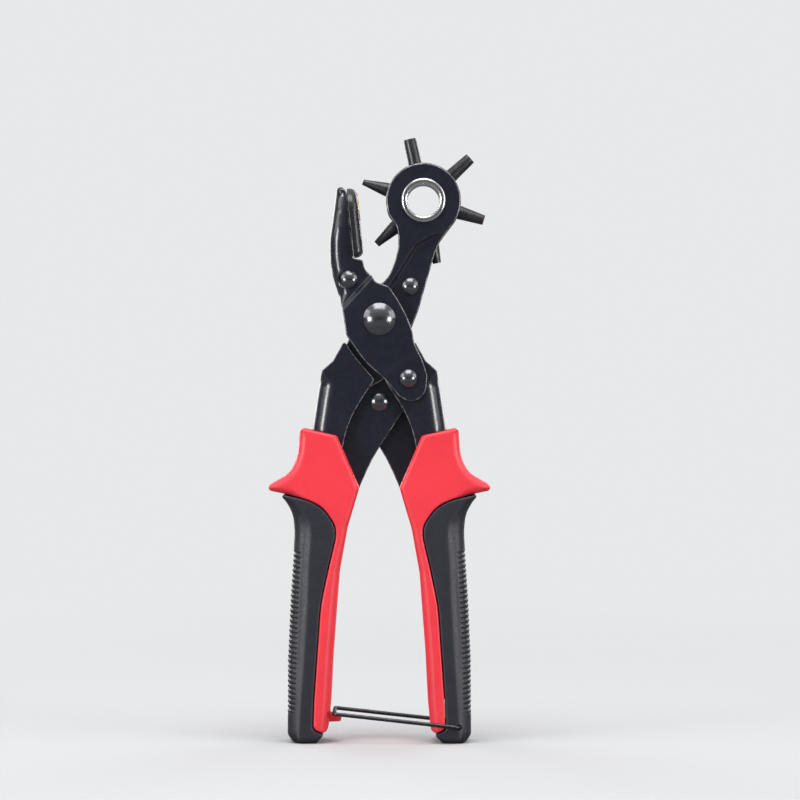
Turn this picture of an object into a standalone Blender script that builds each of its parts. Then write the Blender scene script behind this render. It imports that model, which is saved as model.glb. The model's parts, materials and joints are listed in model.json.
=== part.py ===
"""Rotary hole punch: a compound-leverage leather punch plier with a six-tube wheel.

Frame: the origin is the bottom centre of the closed tool's box, right below the main
pivot. +X is right and +Z is up, towards the jaws, seen from the front (-Y).
Lengths in this file are millimetres, turned into metres by MM as each mesh is made.
Heights are written from the main pivot's axis, and stand_on_floor() lifts the tool last.

The sheet parts lie in levels, mirrored about the plane y = 0. From the middle outwards:
the two levers, the wheel jaw, the handle walls, and the anvil jaw around the main pivot.
The handles are shown closed, as the latch bail holds them.
"""

import math

import bmesh
import bpy
from mathutils import Matrix, Vector

MM = 0.001
COLLECTION = "rotary_hole_punch"

# Levels of the sheets: distance from the mid-plane of the near and the far face.
LEVER = (0.2, 2.6)
INNER = (3.0, 4.5)
MIDDLE = (4.8, 6.3)
OUTER = (6.6, 8.1)
GRIP_HALF = 11.0
GAP = 0.3

# Joint axes, as (x, z).
PIVOT = (0.0, 0.0)
ANVIL_NECK = (-11.5, 15.0)
WHEEL_NECK = (11.6, 12.5)
LINK_RIGHT = (11.0, -22.4)
LINK_LEFT = (-11.0, -22.4)
LEVER_CROSSING = (0.0, -31.2)
WHEEL_CENTRE = (16.7, 45.0)
BAIL_PIVOT = (30.0, -154.0)
BAIL_HOOK = (-17.1, -148.8)

# Radii of the pins, and of the holes that they run in.
PIVOT_PIN = 3.2
PIVOT_HOLE = 3.5
NECK_PIN = 1.7
NECK_HOLE = 2.0
LINK_PIN = 1.9
LINK_HOLE = 2.2
FLUSH_PIN = 2.4
FLUSH_HOLE = 2.7
CROSSING_PIN = 2.0
CROSSING_HOLE = 2.5
SPACER_RADIUS = 2.9
LINK_SPACER_RADIUS = 2.7
LEVER_RIVET = 2.0
SPRING_RADIUS = 5.3
SPRING_WIRE = 0.5
SPRING_TURNS = 2.55
SPRING_PITCH = 1.15
SPRING_START = math.radians(41)
SPRING_LEFT_END = (-7.3, 16.4)
SPRING_RIGHT_END = (8.0, 15.2)

# Punch wheel.
HEAD_RADIUS = 14.25
HUB_RADIUS = 11.8
HUB_BORE = 7.3
EYELET_BORE = 6.1
EYELET_BARREL = 7.0
EYELET_FLANGE = 8.4
TUBE_ROOT = 8.8
TUBE_TIP = 24.1
TUBE_BASE_RADIUS = 2.6
SOCKET_LENGTH = 10.0
FIRST_TUBE_ANGLE = 102.5
TUBE_BORES = (4.5, 4.0, 3.5, 3.0, 2.5, 2.0)

# Anvil plate, set on the jaw's edge and tilted to face the wheel.
ANVIL_TOP = (-12.3, 49.6)
ANVIL_TILT = math.radians(6.2)
ANVIL_LENGTH = 26.0
ANVIL_WIDTH = 20.0
ANVIL_THICK = 3.5
DISC_RADIUS = 5.4
DISC_FROM_TOP = 7.2
DISC_RECESS = 1.2
DISC_PROUD = 0.3
STUD_HALF_WIDTH = 2.2
STUD_SPAN = (14.0, 18.4)
STUD_DEPTH = 4.0

WIRE_RADIUS = 0.75
HOOK_HALF_WIDTH = 4.0
LOWEST = -160.3
ROUND_STEPS = 24
SMALL_ROUND_STEPS = 16
WHEEL_STEPS = 36
ARC_STEP = math.radians(22)

BLACK_PAINT = ("black_painted_steel", (0.016, 0.018, 0.024), 0.25, 0.3)
BLACK_RIVET = ("black_rivet_steel", (0.02, 0.02, 0.023), 0.3, 0.8)
BARE_STEEL = ("bare_steel", (0.45, 0.45, 0.46), 0.35, 1.0)
SPRING_STEEL = ("spring_steel", (0.22, 0.22, 0.23), 0.35, 1.0)
NICKEL = ("nickel_plate", (0.72, 0.72, 0.7), 0.15, 1.0)
TUBE_STEEL = ("phosphated_steel", (0.055, 0.055, 0.06), 0.4, 0.9)
BRASS = ("brass", (0.6, 0.43, 0.16), 0.35, 1.0)
ANVIL_PLASTIC = ("black_plastic", (0.02, 0.02, 0.022), 0.45, 0.0)
RED_PLASTIC = ("red_plastic", (0.74, 0.03, 0.045), 0.35, 0.0)
BLACK_RUBBER = ("black_grip", (0.018, 0.018, 0.02), 0.65, 0.0)

UPRIGHT = Matrix(((1, 0, 0, 0), (0, 0, -1, 0), (0, 1, 0, 0), (0, 0, 0, 1)))


# ---------------------------------------------------------------- scene and helpers

def clear_scene():
    """Remove every object, so that the script can be run twice."""
    for old in list(bpy.data.objects):
        bpy.data.objects.remove(old, do_unlink=True)


def collection(name):
    """The named collection, linked to the scene."""
    group = bpy.data.collections.get(name) or bpy.data.collections.new(name)
    if group.name not in bpy.context.scene.collection.children:
        bpy.context.scene.collection.children.link(group)
    return group


def material(spec):
    """The Principled material of one of the specs above, made once."""
    name, colour, roughness, metallic = spec
    existing = bpy.data.materials.get(name)
    if existing:
        return existing
    made = bpy.data.materials.new(name)
    made.use_nodes = True
    shader = made.node_tree.nodes["Principled BSDF"]
    shader.inputs["Base Color"].default_value = (*colour, 1.0)
    shader.inputs["Roughness"].default_value = roughness
    shader.inputs["Metallic"].default_value = metallic
    return made


def add_object(name, mesh, spec=None):
    """Link a mesh as a part, or as a hidden cutter when it has no material."""
    obj = bpy.data.objects.new(name, mesh)
    if spec is None:
        collection("cutters").objects.link(obj)
        obj.hide_render = True
        obj.display_type = "WIRE"
        return obj
    collection(COLLECTION).objects.link(obj)
    mesh.materials.append(material(spec))
    return obj


def at(point, y=0.0):
    """An (x, z) point of the front view as a vector in metres."""
    return Vector((point[0], y, point[1])) * MM


def mirrored(corners):
    """The same outline on the other side of the tool."""
    return [(-x, z, radius) for x, z, radius in reversed(corners)]


def fillet(before, corner, after, radius):
    """Points of the arc that rounds one corner of an outline, one for each ARC_STEP."""
    point = Vector(corner)
    to_before = Vector(before) - point
    to_after = Vector(after) - point
    reach_limit = 0.49 * min(to_before.length, to_after.length)
    to_before.normalize()
    to_after.normalize()
    half = to_before.angle(to_after) / 2
    if radius <= 0 or half > math.radians(88.5):
        return [tuple(point)]
    reach = min(radius / math.tan(half), reach_limit)
    start = point + to_before * reach
    end = point + to_after * reach
    centre = point + (to_before + to_after).normalized() * (reach / math.cos(half))
    sweep = (start - centre).angle_signed(end - centre)
    steps = max(1, math.ceil(abs(sweep) / ARC_STEP))
    points = []
    for step in range(steps + 1):
        turn = Matrix.Rotation(-sweep * step / steps, 2)
        points.append(tuple(centre + turn @ (start - centre)))
    return points


def outline(corners):
    """Round every (x, z, radius) corner of a closed outline."""
    points = []
    for index, (x, z, radius) in enumerate(corners):
        before = corners[index - 1][:2]
        after = corners[(index + 1) % len(corners)][:2]
        points += fillet(before, (x, z), after, radius)
    return points


def curve_to_mesh(curve, name, matrix):
    """A curve's evaluated mesh, welded and moved by a matrix."""
    holder = bpy.data.objects.new(name + "_curve", curve)
    bpy.context.scene.collection.objects.link(holder)
    holder.matrix_world = matrix
    bpy.context.view_layer.update()
    depsgraph = bpy.context.evaluated_depsgraph_get()
    mesh = bpy.data.meshes.new_from_object(holder.evaluated_get(depsgraph))
    mesh.transform(matrix)
    mesh.name = name
    bpy.data.objects.remove(holder)
    work = bmesh.new()
    work.from_mesh(mesh)
    bmesh.ops.remove_doubles(work, verts=work.verts, dist=0.000002)
    bmesh.ops.recalc_face_normals(work, faces=work.faces)
    work.to_mesh(mesh)
    work.free()
    return mesh


def prism(name, corners, low, high, spec=None, matrix=UPRIGHT):
    """A flat outline with thickness. In the front view it fills y from low to high."""
    curve = bpy.data.curves.new(name, "CURVE")
    curve.dimensions = "2D"
    curve.fill_mode = "BOTH"
    curve.extrude = (high - low) / 2 * MM
    points = outline(corners)
    spline = curve.splines.new("POLY")
    spline.points.add(len(points) - 1)
    for place, (x, z) in zip(spline.points, points):
        place.co = (x * MM, z * MM, 0, 1)
    spline.use_cyclic_u = True
    middle = Matrix.Translation((0, 0, -(low + high) / 2 * MM))
    return add_object(name, curve_to_mesh(curve, name, matrix @ middle), spec)


def plug(name, radius, length, matrix, steps=ROUND_STEPS):
    """A round cutter along the Z axis of the matrix."""
    mesh = bpy.data.meshes.new(name)
    work = bmesh.new()
    bmesh.ops.create_cone(work, cap_ends=True, segments=steps, radius1=radius * MM,
                          radius2=radius * MM, depth=length * MM)
    bmesh.ops.transform(work, matrix=matrix, verts=work.verts)
    work.to_mesh(mesh)
    work.free()
    return add_object(name, mesh)


def turned(name, profile, centre, spec, closed=False, steps=ROUND_STEPS, axis="Y"):
    """A turned part. The profile holds (radius, height) from the top down its outer side."""
    mesh = bpy.data.meshes.new(name)
    count = len(profile)
    edges = [(index, index + 1) for index in range(count - 1)]
    if closed:
        edges.append((count - 1, 0))
    mesh.from_pydata([(radius * MM, 0, height * MM) for radius, height in profile], edges, [])
    obj = add_object(name, mesh, spec)
    screw = obj.modifiers.new("turn", "SCREW")
    screw.steps = steps
    screw.render_steps = steps
    screw.use_merge_vertices = True
    screw.merge_threshold = 0.00001
    if axis == "Y":
        obj.rotation_euler = (math.radians(-90), 0, 0)
    obj.location = at(centre)
    return obj


def boolean(obj, other, operation):
    """Add an exact Boolean modifier."""
    step = obj.modifiers.new(operation.lower(), "BOOLEAN")
    step.operation = operation
    step.solver = "EXACT"
    step.object = other


def cut(obj, *cutters):
    """Take cutters out of a part."""
    for cutter in cutters:
        boolean(obj, cutter, "DIFFERENCE")


def join(obj, *others):
    """Join hidden shapes to a part as one body."""
    for other in others:
        boolean(obj, other, "UNION")


def drill(obj, centre, radius, low=-20.0, high=20.0):
    """Cut a round hole along Y."""
    middle = Matrix.Translation(at(centre, (low + high) / 2)) @ UPRIGHT
    cut(obj, plug(f"{obj.name}_hole", radius, high - low, middle))


def bevel(obj, width, segments, angle=40):
    """Round the sharp edges of a part."""
    step = obj.modifiers.new("bevel", "BEVEL")
    step.width = width * MM
    step.segments = segments
    step.limit_method = "ANGLE"
    step.angle_limit = math.radians(angle)


def parented(empty_name, point, children):
    """Put moving parts under an empty that stands on their joint's axis."""
    empty = bpy.data.objects.new(empty_name, None)
    empty.location = at(point)
    collection(COLLECTION).objects.link(empty)
    bpy.context.view_layer.update()
    for child in children:
        place = child.matrix_world.copy()
        child.parent = empty
        child.matrix_parent_inverse = empty.matrix_world.inverted()
        child.matrix_world = place
    return empty


# ---------------------------------------------------------------- turned fasteners

def domed_rivet(name, centre, pin, head, dome, seat):
    """A rivet along Y with a dome at both ends. The heads sit on the seat height."""
    half = [(0.0, seat + dome), (head * 0.35, seat + dome * 0.95),
            (head * 0.66, seat + dome * 0.74), (head * 0.9, seat + dome * 0.4),
            (head, seat + dome * 0.1), (head, seat)]
    profile = half + [(pin, seat), (pin, -seat)]
    profile += [(radius, -height) for radius, height in reversed(half)]
    return turned(name, profile, centre, BLACK_RIVET)


def flush_rivet(name, centre, pin, half_length, spec=BARE_STEEL):
    """A plain pin along Y with small chamfers."""
    chamfer = 0.3
    profile = [(0.0, half_length), (pin - chamfer, half_length), (pin, half_length - chamfer)]
    profile += [(radius, -height) for radius, height in reversed(profile)]
    return turned(name, profile, centre, spec, steps=SMALL_ROUND_STEPS)


def ring(name, centre, bore, outside, low, high, spec, steps=ROUND_STEPS):
    """A washer, sleeve or spacer along Y, filling y from low to high."""
    top, bottom = high, low
    profile = [(bore, top), (outside, top), (outside, bottom), (bore, bottom)]
    return turned(name, profile, centre, spec, closed=True, steps=steps)


# ---------------------------------------------------------------- main pivot

def opening_spring():
    """Torsion spring around the pivot sleeve. Its legs reach the two neck spacers."""
    steps = int(SPRING_TURNS * 14)
    points = []
    for step in range(steps + 1):
        part = step / steps
        angle = SPRING_START - part * SPRING_TURNS * 2 * math.pi
        y = (part - 0.5) * SPRING_TURNS * SPRING_PITCH
        points.append((SPRING_RADIUS * math.cos(angle), y, SPRING_RADIUS * math.sin(angle)))
    points.insert(0, (SPRING_RIGHT_END[0], points[0][1], SPRING_RIGHT_END[1]))
    points.append((SPRING_LEFT_END[0], points[-1][1], SPRING_LEFT_END[1]))
    return wire_part("opening_spring", points, SPRING_WIRE, SPRING_STEEL)


def wire_part(name, points, radius, spec):
    """A round wire along a path of (x, y, z) points."""
    curve = bpy.data.curves.new(name, "CURVE")
    curve.dimensions = "3D"
    curve.bevel_depth = radius * MM
    curve.bevel_resolution = 2
    curve.use_fill_caps = True
    spline = curve.splines.new("POLY")
    spline.points.add(len(points) - 1)
    for place, point in zip(spline.points, points):
        place.co = (*(Vector(point) * MM), 1)
    return add_object(name, curve_to_mesh(curve, name, Matrix.Identity(4)), spec)


def main_pivot():
    """Rivet, sleeve, washers and spring: the fixed body that the jaws turn on."""
    domed_rivet("main_pivot_rivet", PIVOT, PIVOT_PIN, 6.2, 2.4, OUTER[1] + 0.2)
    ring("pivot_sleeve", PIVOT, PIVOT_HOLE, 4.4, -2.7, 2.7, BARE_STEEL)
    ring("pivot_washer_front", PIVOT, PIVOT_HOLE, 5.5, -6.35, -4.75, BARE_STEEL)
    ring("pivot_washer_back", PIVOT, PIVOT_HOLE, 5.5, 4.75, 6.35, BARE_STEEL)
    opening_spring()


# ---------------------------------------------------------------- anvil jaw

NECK_OUTLINE = [
    (-16.4, 49.6, 1.2), (-18.0, 37.0, 30), (-19.0, 30.2, 20), (-18.9, 22.6, 20),
    (-17.6, 15.8, 20), (-15.5, 9.3, 20), (-13.9, 3.2, 1), (-12.3, 4.6, 0),
    (-2.0, 15.7, 0), (-2.7, 16.2, 1), (-5.4, 18.7, 3), (-6.3, 22.4, 1),
    (-9.85, 23.0, 0.3), (-12.5, 48.3, 1.2), (-14.2, 50.2, 1.2),
]
NECK_CAVITY = [
    (-14.9, 54.0, 0), (-16.5, 37.0, 30), (-17.5, 30.2, 20), (-17.4, 22.6, 20),
    (-16.1, 15.8, 20), (-14.0, 9.3, 10), (-12.0, 2.0, 0), (-4.0, 0.0, 0),
    (6.0, 12.0, 0), (0.0, 54.0, 0),
]
PIVOT_PLATE = [
    (-14.3, 4.6, 1.0), (-3.9, 16.0, 1.2), (-1.5, 14.0, 2), (3.6, 12.4, 2), (7.0, 7.4, 20),
    (10.1, 1.7, 20), (12.4, -4.0, 20), (13.3, -9.5, 10), (16.2, -15.3, 8), (18.3, -21.5, 6),
    (17.4, -28.8, 6), (12.0, -31.8, 6), (7.4, -29.2, 3), (2.1, -22.8, 20), (-5.5, -16.2, 30),
    (-12.5, -6.2, 3), (-13.4, 0.0, 10),
]
PIVOT_PLATE_CAVITY = [
    (-20.0, -3.6, 0), (-13.1, 3.9, 0), (-2.6, 15.3, 0), (6.0, 24.0, 0), (26.0, 10.0, 0),
    (26.0, -36.0, 0), (-20.0, -36.0, 0),
]


def anvil_jaw_channel():
    """One folded sheet: a narrow channel at the neck, wider plates over the pivot."""
    jaw = prism("anvil_jaw_channel", NECK_OUTLINE, -MIDDLE[1], MIDDLE[1], BLACK_PAINT)
    join(jaw, prism("pivot_plate_block", PIVOT_PLATE, -OUTER[1], OUTER[1]))
    cut(jaw, prism("neck_cavity", NECK_CAVITY, -MIDDLE[0], MIDDLE[0]),
        prism("pivot_plate_cavity", PIVOT_PLATE_CAVITY, -OUTER[0], OUTER[0]))
    drill(jaw, PIVOT, PIVOT_HOLE)
    drill(jaw, ANVIL_NECK, NECK_HOLE)
    drill(jaw, LINK_RIGHT, LINK_HOLE)
    return jaw


def anvil_frame():
    """Local frame of the anvil plate: width along Y, length downwards, back face at 0."""
    along = Vector((math.sin(ANVIL_TILT), 0, -math.cos(ANVIL_TILT)))
    across = Vector((0, 1, 0))
    outward = across.cross(along)
    turn = Matrix((across, along, outward)).transposed().to_4x4()
    return Matrix.Translation(at(ANVIL_TOP)) @ turn


def anvil_parts():
    """Black anvil plate with a locating stud, and the brass disc that the tubes cut on."""
    frame = anvil_frame()
    half = ANVIL_WIDTH / 2
    corners = [(-half, 0, 8.5), (half, 0, 8.5), (half, ANVIL_LENGTH, 1.5),
               (-half, ANVIL_LENGTH, 1.5)]
    plate = prism("anvil_plate", corners, 0, ANVIL_THICK, ANVIL_PLASTIC, frame)
    top, bottom = STUD_SPAN
    stud = [(-STUD_HALF_WIDTH, top, 0.4), (STUD_HALF_WIDTH, top, 0.4),
            (STUD_HALF_WIDTH, bottom, 0.4), (-STUD_HALF_WIDTH, bottom, 0.4)]
    join(plate, prism("anvil_stud", stud, -STUD_DEPTH, 0.5, None, frame))
    recess = round_corners(DISC_RADIUS + 0.2)
    floor = ANVIL_THICK - DISC_RECESS
    cut(plate, prism("disc_recess", recess, floor, ANVIL_THICK + 2, None, frame))
    brass = prism("anvil_brass_disc", round_corners(DISC_RADIUS), floor + 0.15,
                  ANVIL_THICK + DISC_PROUD, BRASS, frame)
    return [plate, brass]


def round_corners(radius, count=28):
    """A circle on the anvil plate, as outline corners."""
    corners = []
    for index in range(count):
        angle = 2 * math.pi * index / count
        corners.append((radius * math.cos(angle), DISC_FROM_TOP + radius * math.sin(angle), 0))
    return corners


def anvil_jaw():
    """Everything that swings with the anvil jaw."""
    parts = [anvil_jaw_channel()] + anvil_parts()
    parts.append(domed_rivet("anvil_neck_rivet", ANVIL_NECK, NECK_PIN, 3.4, 1.6, MIDDLE[1] + 0.2))
    parts.append(ring("anvil_neck_spacer", ANVIL_NECK, NECK_HOLE, SPACER_RADIUS,
                      -4.6, 4.6, BARE_STEEL, SMALL_ROUND_STEPS))
    parts.append(domed_rivet("anvil_link_pin", LINK_RIGHT, LINK_PIN, 3.4, 1.6, OUTER[1] + 0.2))
    parts.append(ring("anvil_link_spacer_front", LINK_RIGHT, LINK_HOLE, LINK_SPACER_RADIUS,
                      -INNER[1], -2.85, BARE_STEEL, SMALL_ROUND_STEPS))
    parts.append(ring("anvil_link_spacer_back", LINK_RIGHT, LINK_HOLE, LINK_SPACER_RADIUS,
                      0.05, INNER[1], BARE_STEEL, SMALL_ROUND_STEPS))
    parented("anvil_jaw_axis", PIVOT, parts)


# ---------------------------------------------------------------- wheel jaw

STEP_LEFT = [(1.0, 8.0, 0), (8.7, 20.9, 8), (13.6, 28.9, 6), (20.2, 32.5, 6), (34.0, 36.5, 0)]
STEP_RIGHT = [(2.8, 8.0, 0), (10.2, 20.3, 8), (14.8, 27.6, 6), (21.0, 31.0, 6), (34.0, 34.7, 0)]
ABOVE_STEP = [(34.0, 64.0, 0), (-4.0, 64.0, 0), (-4.0, 8.0, 0)]
BELOW_STEP = [(34.0, -34.0, 0), (-24.0, -34.0, 0), (-24.0, 8.0, 0)]
WHEEL_JAW_BELOW_HEAD = [
    (4.3, 38.4, 4), (6.5, 35.4, 6), (7.2, 31.0, 8), (7.0, 26.4, 10), (5.7, 21.4, 10),
    (3.4, 15.8, 10), (-4.0, 9.4, 6), (-10.2, 3.5, 8), (-11.0, -6.0, 8), (-16.3, -18.6, 5),
    (-16.6, -24.8, 4), (-11.6, -28.4, 4), (-5.6, -26.8, 4), (1.6, -23.0, 2), (3.6, -14.0, 8),
    (11.0, -6.5, 6), (15.0, 4.0, 10), (17.1, 11.5, 20), (18.4, 16.0, 20), (20.0, 21.5, 20),
    (21.2, 25.5, 10), (22.8, 29.3, 8), (25.4, 32.9, 3),
]


def wheel_jaw_outline():
    """Head arc around the wheel's centre, then the neck, the arm and the tail."""
    start, end, steps = math.radians(-40), math.radians(203), 26
    arc = []
    for step in range(steps + 1):
        angle = start + (end - start) * step / steps
        arc.append((WHEEL_CENTRE[0] + HEAD_RADIUS * math.cos(angle),
                    WHEEL_CENTRE[1] + HEAD_RADIUS * math.sin(angle), 0))
    return arc + WHEEL_JAW_BELOW_HEAD


def wheel_jaw_plate(name, side):
    """One cheek of the wheel jaw, stepped outwards at the head to clear the wheel."""
    def prism_on_side(label, corners, near, far):
        low, high = (near, far) if side > 0 else (-far, -near)
        return prism(label, corners, low, high, BLACK_PAINT if label == name else None)

    plate = prism_on_side(name, wheel_jaw_outline(), INNER[0], MIDDLE[1])
    cut(plate,
        prism_on_side(f"{name}_under_head", STEP_LEFT + ABOVE_STEP, INNER[0] - 1, MIDDLE[0]),
        prism_on_side(f"{name}_over_arm", STEP_RIGHT + BELOW_STEP, INNER[1], MIDDLE[1] + 1))
    drill(plate, PIVOT, PIVOT_HOLE)
    drill(plate, WHEEL_NECK, NECK_HOLE)
    drill(plate, LINK_LEFT, FLUSH_HOLE)
    drill(plate, WHEEL_CENTRE, HUB_BORE)
    return plate


def wheel_eyelet():
    """Bright eyelet that the punch wheel turns on, rolled over both cheeks."""
    half = [(EYELET_BORE, 7.0), (EYELET_BORE + 0.4, 7.35), (EYELET_FLANGE - 0.7, 7.35),
            (EYELET_FLANGE, 7.0), (EYELET_FLANGE, 6.5), (EYELET_BARREL, 6.5)]
    profile = half + [(radius, -height) for radius, height in reversed(half)]
    return turned("wheel_eyelet", profile, WHEEL_CENTRE, NICKEL, closed=True, steps=WHEEL_STEPS)


def wheel_jaw():
    """Everything that swings with the wheel jaw, apart from the wheel."""
    parts = [wheel_jaw_plate("wheel_jaw_front_plate", -1),
             wheel_jaw_plate("wheel_jaw_back_plate", 1)]
    parts.append(domed_rivet("wheel_neck_rivet", WHEEL_NECK, NECK_PIN, 3.4, 1.6, INNER[1] + 0.2))
    parts.append(ring("wheel_neck_spacer", WHEEL_NECK, NECK_HOLE, SPACER_RADIUS,
                      -2.8, 2.8, BARE_STEEL, SMALL_ROUND_STEPS))
    parts.append(flush_rivet("wheel_link_pin", LINK_LEFT, FLUSH_PIN, INNER[1]))
    parts.append(ring("wheel_link_spacer", LINK_LEFT, FLUSH_HOLE, 3.4, -2.8, -0.05,
                      BARE_STEEL, SMALL_ROUND_STEPS))
    parts.append(wheel_eyelet())
    parts.append(ring("wheel_wave_washer", WHEEL_CENTRE, HUB_BORE, 10.6, 4.0, 4.55,
                      SPRING_STEEL, WHEEL_STEPS))
    parented("wheel_jaw_axis", PIVOT, parts)


# ---------------------------------------------------------------- punch wheel

def radial_matrix(angle, distance):
    """Frame at a distance from the wheel's centre, its Z axis pointing outwards."""
    direction = Vector((math.cos(angle), 0, math.sin(angle)))
    turn = direction.to_track_quat("Z", "Y").to_matrix().to_4x4()
    return Matrix.Translation(at(WHEEL_CENTRE) + direction * distance * MM) @ turn


def tube_angle(index):
    """Direction of a punch tube. The sizes fall clockwise, seen from the front."""
    return math.radians(FIRST_TUBE_ANGLE - 60 * index)


def punch_tube(index, bore):
    """One hollow punch tube with a tapered nose and a sharp rim."""
    length = TUBE_TIP - TUBE_ROOT
    inner = bore / 2
    rim = inner + 0.12
    profile = [(0.0, length - 9), (inner, length - 9), (inner, length), (rim, length),
               (inner + 0.45, length - 2.5), (TUBE_BASE_RADIUS, 6.2), (TUBE_BASE_RADIUS, 0.3),
               (TUBE_BASE_RADIUS - 0.3, 0.0), (0.0, 0.0)]
    tube = turned(f"punch_tube_{index + 1}", profile, WHEEL_CENTRE, TUBE_STEEL,
                  steps=SMALL_ROUND_STEPS, axis="Z")
    tube.matrix_world = radial_matrix(tube_angle(index), TUBE_ROOT)
    return tube


def wheel_hub():
    """The wheel's body, with a socket for the foot of each tube."""
    low, high, edge = -4.4, 3.7, 0.6
    profile = [(HUB_BORE, high), (HUB_RADIUS - edge, high), (HUB_RADIUS, high - edge),
               (HUB_RADIUS, low + edge), (HUB_RADIUS - edge, low), (HUB_BORE, low)]
    hub = turned("wheel_hub", profile, WHEEL_CENTRE, TUBE_STEEL, closed=True, steps=WHEEL_STEPS)
    for index in range(len(TUBE_BORES)):
        middle = radial_matrix(tube_angle(index), TUBE_ROOT - GAP + SOCKET_LENGTH / 2)
        cut(hub, plug("tube_socket", TUBE_BASE_RADIUS + 0.2, SOCKET_LENGTH, middle,
                      SMALL_ROUND_STEPS))
    return hub


def punch_wheel():
    """The hub and its six tubes, from the widest to the narrowest."""
    parts = [wheel_hub()]
    for index, bore in enumerate(TUBE_BORES):
        parts.append(punch_tube(index, bore))
    parented("punch_wheel_axis", WHEEL_CENTRE, parts)


# ---------------------------------------------------------------- handles

# Outlines of the right handle. The left handle mirrors them.
CHANNEL = [
    (13.4, -8.2, 0.8), (17.6, -15.8, 3), (21.7, -19.4, 1.5), (23.2, -26.0, 10),
    (25.3, -40.0, 30), (27.5, -60.0, 30), (29.6, -80.0, 30), (30.6, -100.0, 30),
    (30.6, -146.0, 2), (21.0, -146.0, 2), (20.2, -125.0, 20), (18.6, -98.0, 20),
    (14.6, -70.0, 20), (14.1, -47.3, 20), (10.3, -35.9, 20), (1.8, -22.8, 1), (8.6, -14.9, 20),
]
CHANNEL_CAVITY = [
    (6.0, 0.0, 0), (24.0, -10.0, 0), (24.0, -18.2, 0), (20.3, -19.9, 0), (21.7, -26.0, 10),
    (23.8, -40.0, 30), (26.0, -60.0, 30), (28.1, -80.0, 30), (29.1, -100.0, 30),
    (29.1, -150.0, 0), (10.0, -150.0, 0), (0.0, -60.0, 0), (-4.0, -22.0, 0),
]
GRIP_HOLLOW = [
    (10.0, -36.0, 0), (13.0, -44.0, 0), (14.2, -56.0, 4), (14.3, -70.0, 10),
    (18.2, -98.0, 20), (19.8, -125.0, 20), (20.6, -146.4, 1), (31.0, -146.4, 1),
    (31.0, -100.0, 30), (30.0, -80.0, 30), (27.9, -60.0, 30), (25.7, -40.0, 30), (25.0, -36.0, 0),
]
LEVER_SLOT = [
    (-2.0, -46.0, 0), (2.2, -52.8, 0), (6.7, -63.2, 8), (11.9, -75.3, 10), (18.5, -98.2, 10),
    (19.4, -106.5, 2), (28.2, -106.5, 2), (26.2, -85.0, 10), (23.0, -60.0, 10),
    (20.0, -40.0, 0), (-2.0, -40.0, 0),
]
LEVER_PLATE = [
    (-7.0, -16.8, 4), (-16.8, -17.2, 5), (-16.6, -27.0, 4), (-8.7, -35.1, 8),
    (-6.1, -39.3, 10), (2.7, -52.6, 10), (7.2, -62.9, 8), (12.4, -75.0, 10),
    (19.0, -98.0, 10), (20.0, -106.0, 2), (27.6, -106.0, 2), (25.6, -85.0, 10),
    (22.4, -60.0, 10), (17.5, -46.0, 8), (10.0, -29.5, 8),
]
RED_GRIP = [
    (16.0, -44.1, 1.5), (30.0, -41.0, 1.5), (30.6, -51.5, 8), (33.8, -58.2, 8),
    (44.4, -64.2, 1.4), (36.5, -65.9, 4), (27.0, -68.0, 8), (21.0, -71.2, 7),
    (16.5, -77.8, 7), (16.2, -82.2, 7), (19.0, -94.0, 20), (22.0, -108.0, 20),
    (23.3, -126.4, 30), (24.6, -145.0, 20), (24.9, -154.8, 2.4), (19.6, -157.0, 2.6),
    (18.4, -144.6, 20), (17.5, -126.7, 20), (16.0, -106.6, 20), (15.2, -96.0, 15),
    (12.2, -79.2, 15), (10.6, -73.9, 10), (7.6, -63.7, 3),
]
BLACK_GRIP = [
    (37.6, -66.1, 1.5), (35.4, -68.8, 4), (32.7, -73.6, 8), (32.0, -80.0, 20),
    (32.6, -90.0, 20), (33.6, -106.0, 30), (34.6, -128.0, 30), (34.7, -157.0, 2.5),
    (32.5, -160.3, 2.5), (24.0, -160.3, 2), (20.9, -156.95, 0.5), (25.2, -155.15, 2.4),
    (24.9, -145.0, 20), (23.6, -126.4, 30), (22.3, -108.0, 20), (19.3, -93.9, 20),
    (16.5, -82.2, 7), (16.8, -77.9, 7), (21.2, -71.5, 7), (27.1, -68.33, 8),
]
LINK_SLOT_END = (13.6, -27.5)
LINK_SLOT_RADIUS = LINK_PIN + 0.4
LEVER_RIVETS = ((21.2, -66.0), (23.6, -92.0))


def capsule(start, end, radius):
    """Outline of a slot between two points."""
    first, last = Vector(start), Vector(end)
    along = (last - first).normalized() * radius
    beside = Vector((-along.y, along.x))
    points = (first - along + beside, first - along - beside,
              last + along - beside, last + along + beside)
    return [(point.x, point.y, radius) for point in points]


def side_of(corners, side):
    """An outline on the right side (1) or the left side (-1)."""
    return corners if side > 0 else mirrored(corners)


def handle_channel(name, side):
    """A folded handle: two walls joined by a spine along the outer edge."""
    channel = prism(name, side_of(CHANNEL, side), -MIDDLE[1], MIDDLE[1], BLACK_PAINT)
    cut(channel, prism(f"{name}_cavity", side_of(CHANNEL_CAVITY, side), -MIDDLE[0], MIDDLE[0]))
    if side > 0:
        slot = capsule(LINK_RIGHT, LINK_SLOT_END, LINK_SLOT_RADIUS)
        cut(channel, prism("link_slot", slot, -MIDDLE[1] - 1, MIDDLE[1] + 1))
    for x, z in LEVER_RIVETS:
        drill(channel, (side * x, z), LEVER_RIVET + GAP)
    return channel


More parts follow.
